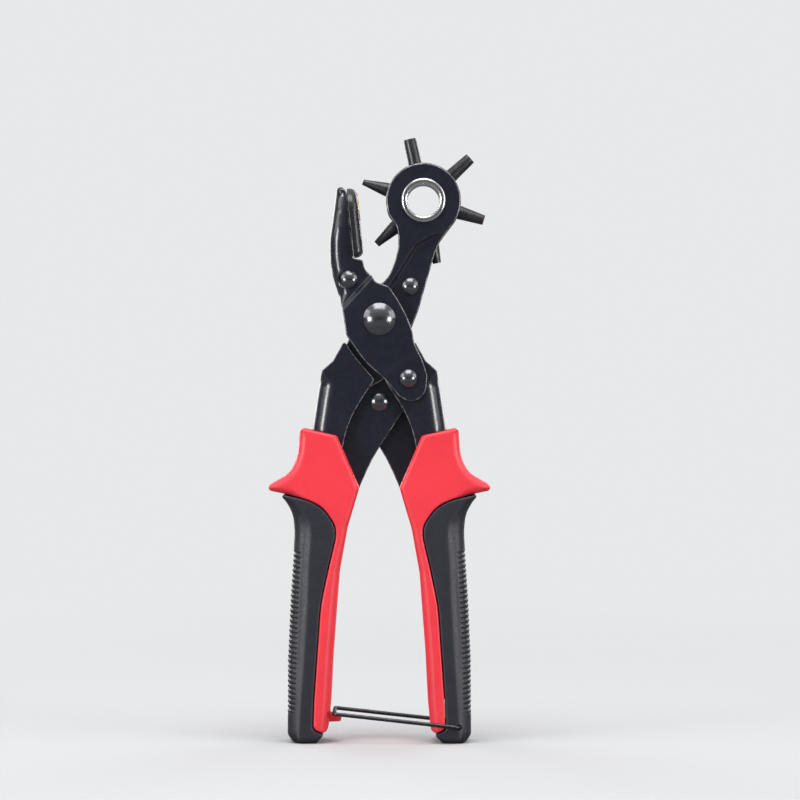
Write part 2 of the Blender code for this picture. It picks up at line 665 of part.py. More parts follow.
def lever(name, side, low, high):
    """The flat lever inside a handle, which crosses to the other jaw's tail."""
    plate = prism(name, side_of(LEVER_PLATE, side), low, high, BLACK_PAINT)
    drill(plate, (-side * LINK_RIGHT[0], LINK_RIGHT[1]), FLUSH_HOLE if side > 0 else LINK_HOLE)
    drill(plate, LEVER_CROSSING, CROSSING_HOLE if side > 0 else CROSSING_PIN + GAP)
    for x, z in LEVER_RIVETS:
        drill(plate, (side * x, z), LEVER_RIVET + GAP)
    return plate


def hook_ledge():
    """The ledge on the left grip that the latch bail rests on."""
    ledge = [(-19.6, -147.0, 0), (-18.5, -149.4, 0.6), (-14.3, -150.3, 0.8),
             (-14.6, -152.4, 0.8), (-19.6, -152.6, 0)]
    return prism("hook_ledge", ledge, -HOOK_HALF_WIDTH, HOOK_HALF_WIDTH)


def grip(name, corners, side, spec, extra=None):
    """A moulded grip with a hollow for the handle's channel."""
    shell = prism(name, side_of(corners, side), -GRIP_HALF, GRIP_HALF, spec)
    bevel(shell, 1.2, 1)
    if extra:
        join(shell, extra)
    reach = MIDDLE[1] + GAP
    slot = LEVER[1] + GAP
    cut(shell, prism(f"{name}_hollow", side_of(GRIP_HOLLOW, side), -reach, reach),
        prism(f"{name}_lever_slot", side_of(LEVER_SLOT, side), -slot, slot))
    return shell


def handle(side):
    """One handle: channel, lever, two-part grip and hidden rivets."""
    word = "right" if side > 0 else "left"
    front_lever = (-LEVER[1], -LEVER[0])
    low, high = LEVER if side > 0 else front_lever
    parts = [handle_channel(f"{word}_handle_channel", side),
             lever(f"{word}_lever", side, low, high),
             grip(f"{word}_grip_red", RED_GRIP, side, RED_PLASTIC,
                  None if side > 0 else hook_ledge())]
    black = grip(f"{word}_grip_black", BLACK_GRIP, side, BLACK_RUBBER)
    if side > 0:
        drill(black, BAIL_PIVOT, WIRE_RADIUS + 0.35, -GRIP_HALF - 2, -7.0)
        drill(black, BAIL_PIVOT, WIRE_RADIUS + 0.35, 7.0, GRIP_HALF + 2)
    parts.append(black)
    for label, (x, z) in zip(("upper", "lower"), LEVER_RIVETS):
        parts.append(flush_rivet(f"{word}_lever_rivet_{label}", (side * x, z), LEVER_RIVET,
                                 MIDDLE[1]))
    if side < 0:
        parts.append(domed_rivet("lever_crossing_pin", LEVER_CROSSING, CROSSING_PIN, 3.6, 1.3,
                                 LEVER[1] + 0.2))
    axis_point = LINK_LEFT if side > 0 else LINK_RIGHT
    parented(f"{word}_handle_axis", axis_point, parts)


# ---------------------------------------------------------------- latch bail

def latch_bail():
    """Wire bail hinged in the right grip, its bar resting at the left grip's ledge."""
    leg_y = GRIP_HALF + 0.45 + WIRE_RADIUS
    inner_y = 7.4
    bend = 1.6
    pivot = Vector((BAIL_PIVOT[0], 0, BAIL_PIVOT[1]))
    hook = Vector((BAIL_HOOK[0], 0, BAIL_HOOK[1]))
    along = (hook - pivot).normalized()
    half = [pivot + Vector((0, inner_y, 0)), pivot + Vector((0, leg_y - 0.4, 0)),
            pivot + Vector((0, leg_y, 0)) + along * 0.5,
            hook + Vector((0, leg_y, 0)) - along * bend,
            hook + Vector((0, leg_y - bend * 0.3, 0)) - along * bend * 0.3,
            hook + Vector((0, leg_y - bend, 0))]
    points = half + [Vector((p.x, -p.y, p.z)) for p in reversed(half)]
    bail = wire_part("latch_bail", points, WIRE_RADIUS, SPRING_STEEL)
    parented("latch_bail_axis", BAIL_PIVOT, [bail])


def stand_on_floor():
    """Lift the tool and its cutters until its lowest point is at z = 0."""
    for obj in bpy.data.objects:
        if obj.parent is None:
            obj.location.z -= LOWEST * MM


def build():
    """Model the whole tool."""
    clear_scene()
    main_pivot()
    anvil_jaw()
    wheel_jaw()
    punch_wheel()
    handle(-1)
    handle(1)
    latch_bail()
    stand_on_floor()


build()
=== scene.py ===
"""Looks of the rotary hole punch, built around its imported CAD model.

Shapes are written in millimetres from the main pivot's axis: x to the right, y towards
the back and z up. Every outline is the CAD part's own outline, with finer arcs, rolled
folds and rounded edges. Sizes that the frame holds are read from it.
"""

import json
import math

import bmesh
import bpy
import numpy as np
from mathutils import Matrix, Vector
from mathutils.geometry import delaunay_2d_cdt

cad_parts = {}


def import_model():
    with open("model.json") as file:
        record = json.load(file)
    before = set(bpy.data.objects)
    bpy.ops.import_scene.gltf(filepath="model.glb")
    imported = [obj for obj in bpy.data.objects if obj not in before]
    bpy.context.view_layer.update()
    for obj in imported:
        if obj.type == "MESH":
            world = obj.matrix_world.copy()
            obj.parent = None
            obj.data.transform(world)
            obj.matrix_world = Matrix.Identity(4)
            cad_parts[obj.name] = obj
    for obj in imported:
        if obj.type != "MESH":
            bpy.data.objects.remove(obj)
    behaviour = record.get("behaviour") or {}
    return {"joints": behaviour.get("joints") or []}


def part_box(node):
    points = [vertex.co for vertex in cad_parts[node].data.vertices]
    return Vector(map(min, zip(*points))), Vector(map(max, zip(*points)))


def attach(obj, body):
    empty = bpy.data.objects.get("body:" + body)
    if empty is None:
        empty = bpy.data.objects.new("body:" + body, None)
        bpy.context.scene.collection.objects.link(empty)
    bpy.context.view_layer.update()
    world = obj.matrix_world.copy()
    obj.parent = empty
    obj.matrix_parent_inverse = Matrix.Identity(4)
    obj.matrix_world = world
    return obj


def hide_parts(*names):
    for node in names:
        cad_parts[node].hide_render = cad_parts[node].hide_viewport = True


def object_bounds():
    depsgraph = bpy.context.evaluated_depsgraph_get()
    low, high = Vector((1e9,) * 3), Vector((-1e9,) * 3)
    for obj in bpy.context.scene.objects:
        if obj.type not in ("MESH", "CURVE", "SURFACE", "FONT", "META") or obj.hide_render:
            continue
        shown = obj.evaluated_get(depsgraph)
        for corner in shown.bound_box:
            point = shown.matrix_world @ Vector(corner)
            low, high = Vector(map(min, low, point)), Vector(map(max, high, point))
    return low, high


MM = 0.001

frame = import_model()
CAD_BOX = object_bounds()
JOINTS = {joint["name"]: joint for joint in frame["joints"]}
PIVOT = Vector(JOINTS["anvil_jaw_pivot"]["pos_m"])

# Levels of the sheets: distance from the mid-plane of the near and the far face.
LEVER = (0.2, 2.6)
INNER = (3.0, 4.5)
MIDDLE = (4.8, 6.3)
OUTER = (6.6, 8.1)
SHEET = 1.5
EDGE = 0.4
ARC_STEP = math.radians(6)
SHORTEST_STEP = 0.5
RIM_SPACING = 1.4
ROUND_STEPS = 8
LARGE_ROUND = 1.0
GUARD = 0.3


# ---------------------------------------------------------------- places

def axis_of(joint):
    """A joint's axis as (x, z) in millimetres from the main pivot."""
    place = (Vector(JOINTS[joint]["pos_m"]) - PIVOT) / MM
    return place.x, place.z


def extent(node):
    """Lowest and highest corner of a CAD node, in millimetres from the main pivot."""
    low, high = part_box(node)
    return (low - PIVOT) / MM, (high - PIVOT) / MM


def world(points, turn=None):
    """Millimetre points as metre vectors in the shared frame."""
    turn = turn or Matrix.Identity(4)
    return [turn @ Vector(point) * MM + PIVOT for point in points]


def mirrored(corners):
    """The same outline on the other side of the tool."""
    return [(-x, z, radius) for x, z, radius in reversed(corners)]


def side_of(corners, side):
    """An outline on the right side (1) or the left side (-1)."""
    return corners if side > 0 else mirrored(corners)


# ---------------------------------------------------------------- outlines

def arc_points(before, corner, after, radius):
    """Points of the arc that rounds one corner."""
    point = Vector(corner)
    to_before = Vector(before) - point
    to_after = Vector(after) - point
    limit = 0.49 * min(to_before.length, to_after.length)
    to_before.normalize()
    to_after.normalize()
    half = to_before.angle(to_after) / 2
    if radius <= 0 or half > math.radians(89):
        return [tuple(point)]
    reach = min(radius / math.tan(half), limit)
    radius = reach * math.tan(half)
    start = point + to_before * reach
    centre = point + (to_before + to_after).normalized() * (reach / math.cos(half))
    sweep = (start - centre).angle_signed(point + to_after * reach - centre)
    step = max(ARC_STEP, SHORTEST_STEP / radius)
    steps = max(2, math.ceil(abs(sweep) / step))
    arc = []
    for index in range(steps + 1):
        turn = Matrix.Rotation(-sweep * index / steps, 2)
        arc.append(tuple(centre + turn @ (start - centre)))
    return arc


def rounded(corners, closed=True):
    """Round every (x, z, radius) corner of an outline or of an open line."""
    points = []
    last = len(corners) - 1
    for index, (x, z, radius) in enumerate(corners):
        if not closed and index in (0, last):
            points.append((x, z))
            continue
        before = corners[index - 1][:2]
        after = corners[(index + 1) % len(corners)][:2]
        points += arc_points(before, (x, z), after, radius)
    return points


def resampled(points, spacing, closed=True):
    """Split the long steps of a line."""
    result = []
    pairs = list(zip(points, points[1:] + points[:1])) if closed else zip(points, points[1:])
    for start, end in pairs:
        start, end = np.array(start), np.array(end)
        count = max(1, math.ceil(np.linalg.norm(end - start) / spacing))
        for step in range(count):
            result.append(start + (end - start) * step / count)
    if not closed:
        result.append(np.array(points[-1]))
    return np.array(result)


def signed_area(loop):
    """Area of a closed loop, positive when it runs counter-clockwise."""
    after = np.roll(loop, -1, axis=0)
    return 0.5 * np.sum(loop[:, 0] * after[:, 1] - after[:, 0] * loop[:, 1])


def oriented(loop, positive):
    """The loop turned so that the material lies on its left."""
    return loop if (signed_area(loop) > 0) == positive else loop[::-1]


def nearest_on(points, starts, ends):
    """Distance to the nearest segment, the point on it, and the side of it (1 is left)."""
    along = ends - starts
    length = np.maximum((along ** 2).sum(1), 1e-12)
    offset = points[:, None, :] - starts[None]
    share = np.clip((offset * along[None]).sum(2) / length, 0, 1)
    feet = starts[None] + share[..., None] * along[None]
    gaps = np.linalg.norm(points[:, None, :] - feet, axis=2)
    best = gaps.argmin(1)
    rows = np.arange(len(points))
    cross = along[best, 0] * offset[rows, best, 1] - along[best, 1] * offset[rows, best, 0]
    return gaps[rows, best], feet[rows, best], np.where(cross >= 0, 1.0, -1.0)


def inside(points, loops):
    """True for points inside the outline and outside its holes."""
    crossings = np.zeros(len(points), int)
    for loop in loops:
        start, end = loop, np.roll(loop, -1, axis=0)
        above = (start[None, :, 1] > points[:, None, 1]) != (end[None, :, 1] > points[:, None, 1])
        rise = np.where(np.abs(end[:, 1] - start[:, 1]) < 1e-9, 1e-9, end[:, 1] - start[:, 1])
        cut = start[:, 0] + (points[:, None, 1] - start[:, 1]) * (end[:, 0] - start[:, 0]) / rise
        crossings += (above & (points[:, None, 0] < cut)).sum(1)
    return crossings % 2 == 1


def smooth(share):
    """Smooth step from 0 to 1."""
    share = np.clip(share, 0, 1)
    return share * share * (3 - 2 * share)


def soft_ramp(distance, softness):
    """0 before a crease and the distance beyond it, with a soft bend."""
    return 0.5 * (distance + np.sqrt(distance ** 2 + softness ** 2))


def blend_table(stations, values, z):
    """A value read from a table of heights."""
    order = np.argsort(stations)
    return np.interp(z, np.array(stations)[order], np.array(values)[order])


# ---------------------------------------------------------------- solids from outlines

def loop_normals(loop):
    """Direction into the material at each point of a loop."""
    forward = np.roll(loop, -1, axis=0) - loop
    forward /= np.linalg.norm(forward, axis=1)[:, None]
    normals = np.stack((-forward[:, 1], forward[:, 0]), axis=1)
    joined = normals + np.roll(normals, 1, axis=0)
    joined /= np.linalg.norm(joined, axis=1)[:, None]
    lengthen = 1 / np.maximum((joined * normals).sum(1), 0.6)
    return joined * lengthen[:, None]


class Net:
    """Points and fixed edges of a flat region, filled with triangles."""

    def __init__(self, loops):
        self.loops = loops
        self.starts = np.concatenate(loops)
        self.ends = np.concatenate([np.roll(loop, -1, axis=0) for loop in loops])
        self.points = []
        self.edges = []
        for loop in loops:
            self.add_line(loop, np.ones(len(loop), bool), True)

    def add_line(self, line, kept, closed):
        """Add a line, leaving out the points that aren't kept."""
        index = {}
        for place, point in enumerate(line):
            if kept[place]:
                index[place] = len(self.points)
                self.points.append(point)
        for place in index:
            after = (place + 1) % len(line) if closed else place + 1
            if after in index:
                self.edges.append((index[place], index[after]))

    def gaps(self, points):
        """Distance to the rim, and the nearest point of the rim."""
        distance, feet, _ = nearest_on(points, self.starts, self.ends)
        return distance, feet

    def add_inner(self, line, clear, closed=False):
        """Add those points of a line that lie inside, clear of the rim."""
        distance, _ = self.gaps(line)
        self.add_line(line, inside(line, self.loops) & (distance >= clear), closed)

    def add_insets(self, edge):
        """Add lines that run along the rim, where its rounding bends."""
        for loop in self.loops:
            radius = edge(loop)
            normals = loop_normals(loop)
            for step in range(1, ROUND_STEPS + 1):
                depth = radius * (1 - math.cos(math.pi / 2 * step / ROUND_STEPS))
                wanted = (radius > LARGE_ROUND) | (step % 2 == 0)
                self.add_inset(loop + normals * depth[:, None], depth, wanted)
            depth = radius + GUARD
            self.add_inset(loop + normals * depth[:, None], depth, depth > 0)

    def add_inset(self, line, depth, wanted):
        """Add a line at its depth from the rim, without the points that crowd a corner."""
        distance, _ = self.gaps(line)
        self.add_line(line, wanted & inside(line, self.loops) & (distance >= 0.93 * depth), True)

    def add_grid(self, spacing, edge):
        """Fill the middle with a staggered grid."""
        low, high = self.loops[0].min(0), self.loops[0].max(0)
        grid = []
        for row, z in enumerate(np.arange(low[1], high[1], spacing * 0.87)):
            for x in np.arange(low[0] + (row % 2) * spacing / 2, high[0], spacing):
                grid.append((x, z))
        grid = np.array(grid)
        grid = grid[inside(grid, self.loops)]
        if not len(grid):
            return
        distance, feet = self.gaps(grid)
        grid = grid[distance > edge(feet) + 0.45 * spacing]
        taken = np.array(self.points)
        for point in grid:
            if np.min(np.abs(taken - point).sum(1)) > 0.5 * spacing:
                self.points.append(point)

    def triangles(self):
        """The filled region as points and triangles."""
        coords = [Vector(point) for point in self.points]
        verts, _, faces, *_ = delaunay_2d_cdt(coords, self.edges, [], 0, 1e-5)
        verts = np.array([tuple(vert) for vert in verts])
        faces = np.array([face for face in faces if len(face) == 3])
        middle = verts[faces].mean(1)
        return verts, faces[inside(middle, self.loops)]


def rounding(distance, radius):
    """How far a rounded edge falls back at a distance from the rim."""
    reach = np.clip(radius - distance, 0, radius)
    return radius - np.sqrt(np.maximum(radius ** 2 - reach ** 2, 0))


def slab(name, corners, bottom, top, holes=(), edge=EDGE, lines=(), spacing=3.0, turn=None,
         rim_shift=None):
    """A solid with a flat outline and two shaped faces, its edges rounded."""
    edge_of = edge if callable(edge) else (lambda places: np.full(len(places), edge))
    outline = corners if isinstance(corners, np.ndarray) else rounded(corners)
    rim = oriented(resampled([tuple(point) for point in outline], RIM_SPACING), True)
    loops = [rim] + [oriented(circle(centre, radius), False) for centre, radius in holes]
    net = Net(loops)
    net.add_insets(edge_of)
    for line in lines:
        net.add_inner(np.array(line), 0.25)
    net.add_grid(spacing, edge_of)
    flat, faces = net.triangles()
    distance, feet = net.gaps(flat)
    radius = edge_of(feet)
    fall = rounding(distance, radius)
    share = np.clip(distance / radius, 0, 1)
    # Share of a tight rounded edge, where the paint later gets a painted highlight
    corner = np.where(radius < LARGE_ROUND, 4 * share * (1 - share), 0)
    low = (bottom(flat) if callable(bottom) else bottom) + fall
    high = (top(flat) if callable(top) else top) - fall
    if rim_shift is not None:
        flat = rim_shift(flat)
    count = len(flat)
    below = [(x, y, z) for (x, z), y in zip(flat, low)]
    above = [(x, y, z) for (x, z), y in zip(flat, high)]
    mesh_faces = [tuple(int(i) for i in face) for face in faces]
    mesh_faces += [tuple(int(i) + count for i in face[::-1]) for face in faces]
    for start, end in border_edges(faces):
        mesh_faces.append((end, start, start + count, end + count))
    return mesh_object(name, world(below + above, turn), mesh_faces, np.tile(corner, 2))


def border_edges(faces):
    """Directed edges that belong to one triangle only."""
    seen = {(int(a), int(b)) for face in faces for a, b in zip(face, np.roll(face, -1))}
    return [pair for pair in seen if pair[::-1] not in seen]


def mesh_object(name, points, faces, corner=None):
    """An object of a mesh whose normals all point outwards, with its corners marked for the painted
    edge highlight.
    """
    mesh = bpy.data.meshes.new(name)
    mesh.from_pydata(points, [], faces)
    if corner is not None:
        mesh.attributes.new("corner", "FLOAT", "POINT").data.foreach_set("value", corner)
    work = bmesh.new()
    work.from_mesh(mesh)
    bmesh.ops.remove_doubles(work, verts=work.verts, dist=1e-7)
    loose = [vert for vert in work.verts if not vert.link_faces]
    bmesh.ops.delete(work, geom=loose, context="VERTS")
    bmesh.ops.recalc_face_normals(work, faces=work.faces)
    work.to_mesh(mesh)
    work.free()
    obj = bpy.data.objects.new(name, mesh)
    bpy.context.scene.collection.objects.link(obj)
    return obj


def circle(centre, radius, count=None):
    """A closed loop around a point."""
    count = count or max(16, int(radius * 10))
    angles = np.linspace(0, 2 * math.pi, count, endpoint=False)
    return np.stack((centre[0] + radius * np.cos(angles), centre[1] + radius * np.sin(angles)), 1)


def prism(name, corners, low, high):
    """A plain block, used as a cutter."""
    outline = rounded(corners)
    count = len(outline)
    points = [(x, low, z) for x, z in outline] + [(x, high, z) for x, z in outline]
    faces = [tuple(range(count)), tuple(range(2 * count - 1, count - 1, -1))]
    for start in range(count):
        end = (start + 1) % count
        faces.append((start, end, end + count, start + count))
    return mesh_object(name, world(points), faces)


def carve(obj, *cutters):
    """Cut shapes out of an object for good."""
    for cutter in cutters:
        step = obj.modifiers.new("carve", "BOOLEAN")
        step.operation = "DIFFERENCE"
        step.solver = "EXACT"
        step.object = cutter
    apply_modifiers(obj)
    for cutter in cutters:
        bpy.data.objects.remove(cutter)
    return obj


def join(obj, other):
    """Add another shape to an object for good."""
    step = obj.modifiers.new("join", "BOOLEAN")
    step.operation = "UNION"
    step.solver = "EXACT"
    step.object = other
    apply_modifiers(obj)
    bpy.data.objects.remove(other)
    return obj


def apply_modifiers(obj):
    """Turn an object's modifiers into its mesh."""
    bpy.context.view_layer.update()
    evaluated = obj.evaluated_get(bpy.context.evaluated_depsgraph_get())
    mesh = bpy.data.meshes.new_from_object(evaluated)
    obj.modifiers.clear()
    obj.data = mesh


def finish_piece(obj, body, finish, *nodes, sharp=50, turned=False):
    """Shade a piece, give it its finish, and tie it to the frame."""
    mesh = obj.data
    mesh.shade_smooth()
    mesh.set_sharp_from_angle(angle=math.radians(sharp))
    if turned:
        obj.modifiers.new("weighted_normals", "WEIGHTED_NORMAL").keep_sharp = True
    mesh.materials.clear()
    mesh.materials.append(FINISHES[finish])
    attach(obj, body)
    if nodes:
        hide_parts(*nodes)
    return obj


# ---------------------------------------------------------------- turned parts and wires

def lathe(name, profile, place, steps=72, closed=False):
    """Turn a profile of (radius, height) around the Z axis of a matrix."""
    points, faces = [], []
    rings = []
    for radius, height in profile:
        if radius < 1e-6:
            rings.append([len(points)] * steps)
            points.append((0, 0, height))
            continue
        rings.append(list(range(len(points), len(points) + steps)))
        for step in range(steps):
            angle = 2 * math.pi * step / steps
            points.append((radius * math.cos(angle), radius * math.sin(angle), height))
    pairs = list(zip(rings, rings[1:]))
    if closed:
        pairs.append((rings[-1], rings[0]))
    for first, second in pairs:
        for step in range(steps):
            after = (step + 1) % steps
            corners = (first[step], first[after], second[after], second[step])
            faces.append(tuple(dict.fromkeys(corners)))
    return mesh_object(name, world(points, place), faces)


def along_y(centre):
    """Frame at (x, z) whose Z axis points to the back."""
    spot = Matrix.Translation((centre[0], 0, centre[1]))
    return spot @ Matrix.Rotation(math.radians(-90), 4, "X")


def round_profile(corners, radius=0.25, steps=3, closed=False):
    """A profile with its corners rounded."""
    points = []
    for index, corner in enumerate(corners):
        if not closed and index in (0, len(corners) - 1):
            points.append(corner)
            continue
        before, after = corners[index - 1], corners[(index + 1) % len(corners)]
        point = Vector(corner)
        first = (Vector(before) - point)
        second = (Vector(after) - point)
        reach = min(radius, 0.45 * first.length, 0.45 * second.length)
        start = point + first.normalized() * reach
        end = point + second.normalized() * reach
        for step in range(steps + 1):
            share = step / steps
            a = start.lerp(point, share)
            b = point.lerp(end, share)
            points.append(tuple(a.lerp(b, share)))
    return points


def dome_half(head, dome, seat, pin):
    """Half of a domed rivet's profile, from the crown down to the pin."""
    ball = (head * head + dome * dome) / (2 * dome)
    half_angle = math.asin(head / ball)
    points = []
    for step in range(15):
        angle = half_angle * step / 14 * 0.985
        points.append((ball * math.sin(angle), seat + dome - ball * (1 - math.cos(angle))))
    rim = points[-1][0]
    points += [(rim + 0.05, seat + 0.12), (rim + 0.02, seat + 0.03), (rim - 0.1, seat)]
    return points + [(pin + 0.1, seat), (pin, seat - 0.1)]


def domed_rivet(node, body, centre, pin, head, dome, seat):
    """A rivet with a dome at both ends."""
    half = dome_half(head, dome, seat, pin)
    profile = half + [(radius, -height) for radius, height in reversed(half)]
    rivet = lathe(f"{node}_look", profile, along_y(centre))
    return finish_piece(rivet, body, "rivet_steel", node, sharp=40, turned=True)


def ring_piece(node, body, bore, finish, soften=0.15):
    """A turned ring, sized from the frame's node."""
    low, high = extent(node)
    centre = ((low.x + high.x) / 2, (low.z + high.z) / 2)
    outside = (high.z - low.z) / 2
    profile = [(bore, high.y), (outside, high.y), (outside, low.y), (bore, low.y)]
    profile = round_profile(profile, soften, 2, closed=True)
    ring = lathe(f"{node}_look", profile, along_y(centre), 56, closed=True)
    return finish_piece(ring, body, finish, node, turned=True)


def pin_piece(node, body, finish="bare_steel"):
    """A plain pin with softened ends, sized from the frame's node."""
    low, high = extent(node)
    centre = ((low.x + high.x) / 2, (low.z + high.z) / 2)
    radius = (high.z - low.z) / 2
    profile = [(0.0, high.y), (radius, high.y), (radius, low.y), (0.0, low.y)]
    pin = lathe(f"{node}_look", round_profile(profile, 0.35), along_y(centre), 48)
    return finish_piece(pin, body, finish, node, turned=True)


def wire_piece(node, body, path, radius, finish):
    """A round wire along a path of millimetre points."""
    curve = bpy.data.curves.new(node, "CURVE")
    curve.dimensions = "3D"
    curve.bevel_depth = radius * MM
    curve.bevel_resolution = 5
    curve.use_fill_caps = True
    spline = curve.splines.new("POLY")
    spline.points.add(len(path) - 1)
    for place, point in zip(spline.points, world(path)):
        place.co = (*point, 1)
    holder = bpy.data.objects.new(f"{node}_curve", curve)
    bpy.context.scene.collection.objects.link(holder)
    bpy.context.view_layer.update()
    evaluated = holder.evaluated_get(bpy.context.evaluated_depsgraph_get())
    mesh = bpy.data.meshes.new_from_object(evaluated)
    bpy.data.objects.remove(holder)
    points = [vert.co.copy() for vert in mesh.vertices]
    faces = [tuple(face.vertices) for face in mesh.polygons]
    wire = mesh_object(f"{node}_look", points, faces)
    return finish_piece(wire, body, finish, node, sharp=60)


def bent_path(corners, radius, steps=8):
    """A path of points with its bends rounded."""
    path = [Vector(corners[0])]
    for before, corner, after in zip(corners, corners[1:], corners[2:]):
        point = Vector(corner)
        first, second = Vector(before) - point, Vector(after) - point
        reach = min(radius, 0.48 * first.length, 0.48 * second.length)
        start = point + first.normalized() * reach
        end = point + second.normalized() * reach
        for step in range(steps + 1):
            share = step / steps
            path.append(start.lerp(point, share).lerp(point.lerp(end, share), share))
    path.append(Vector(corners[-1]))
    return path


# ---------------------------------------------------------------- finishes

class Finish:
    """A small helper that builds one procedural material."""

    def __init__(self, name, colour, roughness, metallic=0.0):
        self.material = bpy.data.materials.new(name)
        self.material.use_nodes = True
        self.tree = self.material.node_tree
        self.shader = self.tree.nodes["Principled BSDF"]
        self.set("Base Color", (*colour, 1.0))
        self.set("Roughness", roughness)
        self.set("Metallic", metallic)
        coords = self.tree.nodes.new("ShaderNodeTexCoord")
        self.coords = self.scaled(coords.outputs["Object"], (1 / MM,) * 3)
        self.normal = None

    def set(self, socket, value):
        """Set one input of the shader."""
        self.shader.inputs[socket].default_value = value

    def link(self, source, target):
        """Connect two sockets."""
        self.tree.links.new(source, target)

    def scaled(self, vector, scale):
        """Coordinates multiplied per axis."""
        mapping = self.tree.nodes.new("ShaderNodeMapping")
        mapping.inputs["Scale"].default_value = scale
        self.link(vector, mapping.inputs["Vector"])
        return mapping.outputs["Vector"]

    def noise(self, scale, detail=3.0, stretch=(1, 1, 1), rough=0.55):
        """Noise whose scale counts features per millimetre."""
        texture = self.tree.nodes.new("ShaderNodeTexNoise")
        texture.inputs["Scale"].default_value = scale
        texture.inputs["Detail"].default_value = detail
        texture.inputs["Roughness"].default_value = rough
        self.link(self.scaled(self.coords, stretch), texture.inputs["Vector"])
        return texture.outputs["Fac"]

    def ranged(self, value, low, high, start=0.0, end=1.0):
        """A value moved from one range to another."""
        node = self.tree.nodes.new("ShaderNodeMapRange")
        node.inputs["From Min"].default_value = start
        node.inputs["From Max"].default_value = end
        node.inputs["To Min"].default_value = low
        node.inputs["To Max"].default_value = high
        self.link(value, node.inputs["Value"])
        return node.outputs["Result"]

    def roughen(self, value, low, high, start=0.3, end=0.7):
        """Vary the roughness with a texture."""
        self.link(self.ranged(value, low, high, start, end), self.shader.inputs["Roughness"])

    def tint(self, value, first, second, start=0.3, end=0.7):
        """Vary the colour with a texture."""
        ramp = self.tree.nodes.new("ShaderNodeMix")
        ramp.data_type = "RGBA"
        ramp.inputs["A"].default_value = (*first, 1.0)
        ramp.inputs["B"].default_value = (*second, 1.0)
        self.link(self.ranged(value, 0.0, 1.0, start, end), ramp.inputs["Factor"])
        self.link(ramp.outputs["Result"], self.shader.inputs["Base Color"])

    def paint_edge_highlight(self, colour):
        """Painted highlight along the sheared edges, in patches: a light grey mixed into the colour
        where the tight rounded edges bend.
        """
        corner = self.tree.nodes.new("ShaderNodeAttribute")
        corner.attribute_name = "corner"
        patches = self.tree.nodes.new("ShaderNodeMath")
        patches.operation = "MULTIPLY"
        self.link(corner.outputs["Fac"], patches.inputs[0])
        self.link(self.ranged(self.noise(0.5, 4), 0.1, 1.0, 0.4, 0.6), patches.inputs[1])
        mix = self.tree.nodes.new("ShaderNodeMix")
        mix.data_type = "RGBA"
        painted = self.shader.inputs["Base Color"].links[0].from_socket
        self.link(patches.outputs["Value"], mix.inputs["Factor"])
        self.link(painted, mix.inputs["A"])
        mix.inputs["B"].default_value = (*colour, 1.0)
        self.link(mix.outputs["Result"], self.shader.inputs["Base Color"])

    def bump(self, value, height, strength=1.0):
        """Add a relief whose height is in millimetres."""
        node = self.tree.nodes.new("ShaderNodeBump")
        node.inputs["Strength"].default_value = strength
        node.inputs["Distance"].default_value = height * MM
        self.link(value, node.inputs["Height"])
        if self.normal:
            self.link(self.normal, node.inputs["Normal"])
        self.normal = node.outputs["Normal"]
        self.link(self.normal, self.shader.inputs["Normal"])

    def rings(self, scale, centre, distortion=0.4):
        """Turning marks around an axis along Y through (x, z)."""
        mapping = self.tree.nodes.new("ShaderNodeMapping")
        mapping.vector_type = "POINT"
        low = PIVOT / MM
        mapping.inputs["Location"].default_value = (-centre[0] - low.x, 0, -centre[1] - low.z)
        self.link(self.coords, mapping.inputs["Vector"])
        wave = self.tree.nodes.new("ShaderNodeTexWave")
        wave.wave_type = "RINGS"
        wave.rings_direction = "Y"
        wave.inputs["Scale"].default_value = scale
        wave.inputs["Distortion"].default_value = distortion
        wave.inputs["Detail"].default_value = 2.0
        self.link(mapping.outputs["Vector"], wave.inputs["Vector"])
        return wave.outputs["Fac"]


PAINT = (0.0085, 0.0098, 0.0175)
# Light grey of the painted highlight along the sheared edges
EDGE_HIGHLIGHT_PAINT = (0.22, 0.22, 0.23)


def painted_steel():
    """Glossy blue-black paint with a trace of orange peel and dust, and a painted highlight along
    the sheared edges.
    """
    finish = Finish("painted_steel_look", PAINT, 0.26)
    finish.tint(finish.noise(0.05, 3), tuple(part * 0.88 for part in PAINT),
                tuple(part * 1.12 for part in PAINT))
    # Painted highlight: light grey in patches along the sheared edges
    finish.paint_edge_highlight(EDGE_HIGHLIGHT_PAINT)
    finish.roughen(finish.noise(0.35, 5), 0.25, 0.34)
    finish.set("Coat Weight", 0.35)
    finish.set("Coat Roughness", 0.13)
    finish.bump(finish.noise(0.15, 1), 0.015)
    finish.bump(finish.noise(2.4, 2), 0.0012)
    return finish.material


def rivet_steel():
    """Polished black rivet."""
    finish = Finish("rivet_steel_look", (0.1, 0.102, 0.112), 0.2, 0.85)
    finish.tint(finish.noise(0.6, 4), (0.08, 0.082, 0.092), (0.12, 0.122, 0.132))
    finish.roughen(finish.noise(1.5, 4), 0.15, 0.26)
    finish.set("Coat Weight", 0.5)
    finish.set("Coat Roughness", 0.04)
    finish.bump(finish.noise(0.9, 2), 0.006)
    return finish.material


def bare_steel():
    """Plain turned steel."""
    finish = Finish("bare_steel_look", (0.5, 0.5, 0.51), 0.32, 1.0)
    finish.tint(finish.noise(0.8, 4), (0.36, 0.36, 0.37), (0.56, 0.56, 0.57))
    finish.roughen(finish.noise(3.0, 3, (1, 8, 1)), 0.24, 0.42)
    finish.bump(finish.noise(2.0, 2, (1, 10, 1)), 0.006)
    return finish.material


def spring_steel():
    """Dark drawn wire."""
    finish = Finish("spring_steel_look", (0.06, 0.06, 0.066), 0.34, 1.0)
    finish.tint(finish.noise(1.0, 4), (0.04, 0.04, 0.045), (0.09, 0.09, 0.096))
    finish.roughen(finish.noise(2.0, 3), 0.28, 0.44)
    finish.bump(finish.noise(4.0, 2), 0.006)
    return finish.material


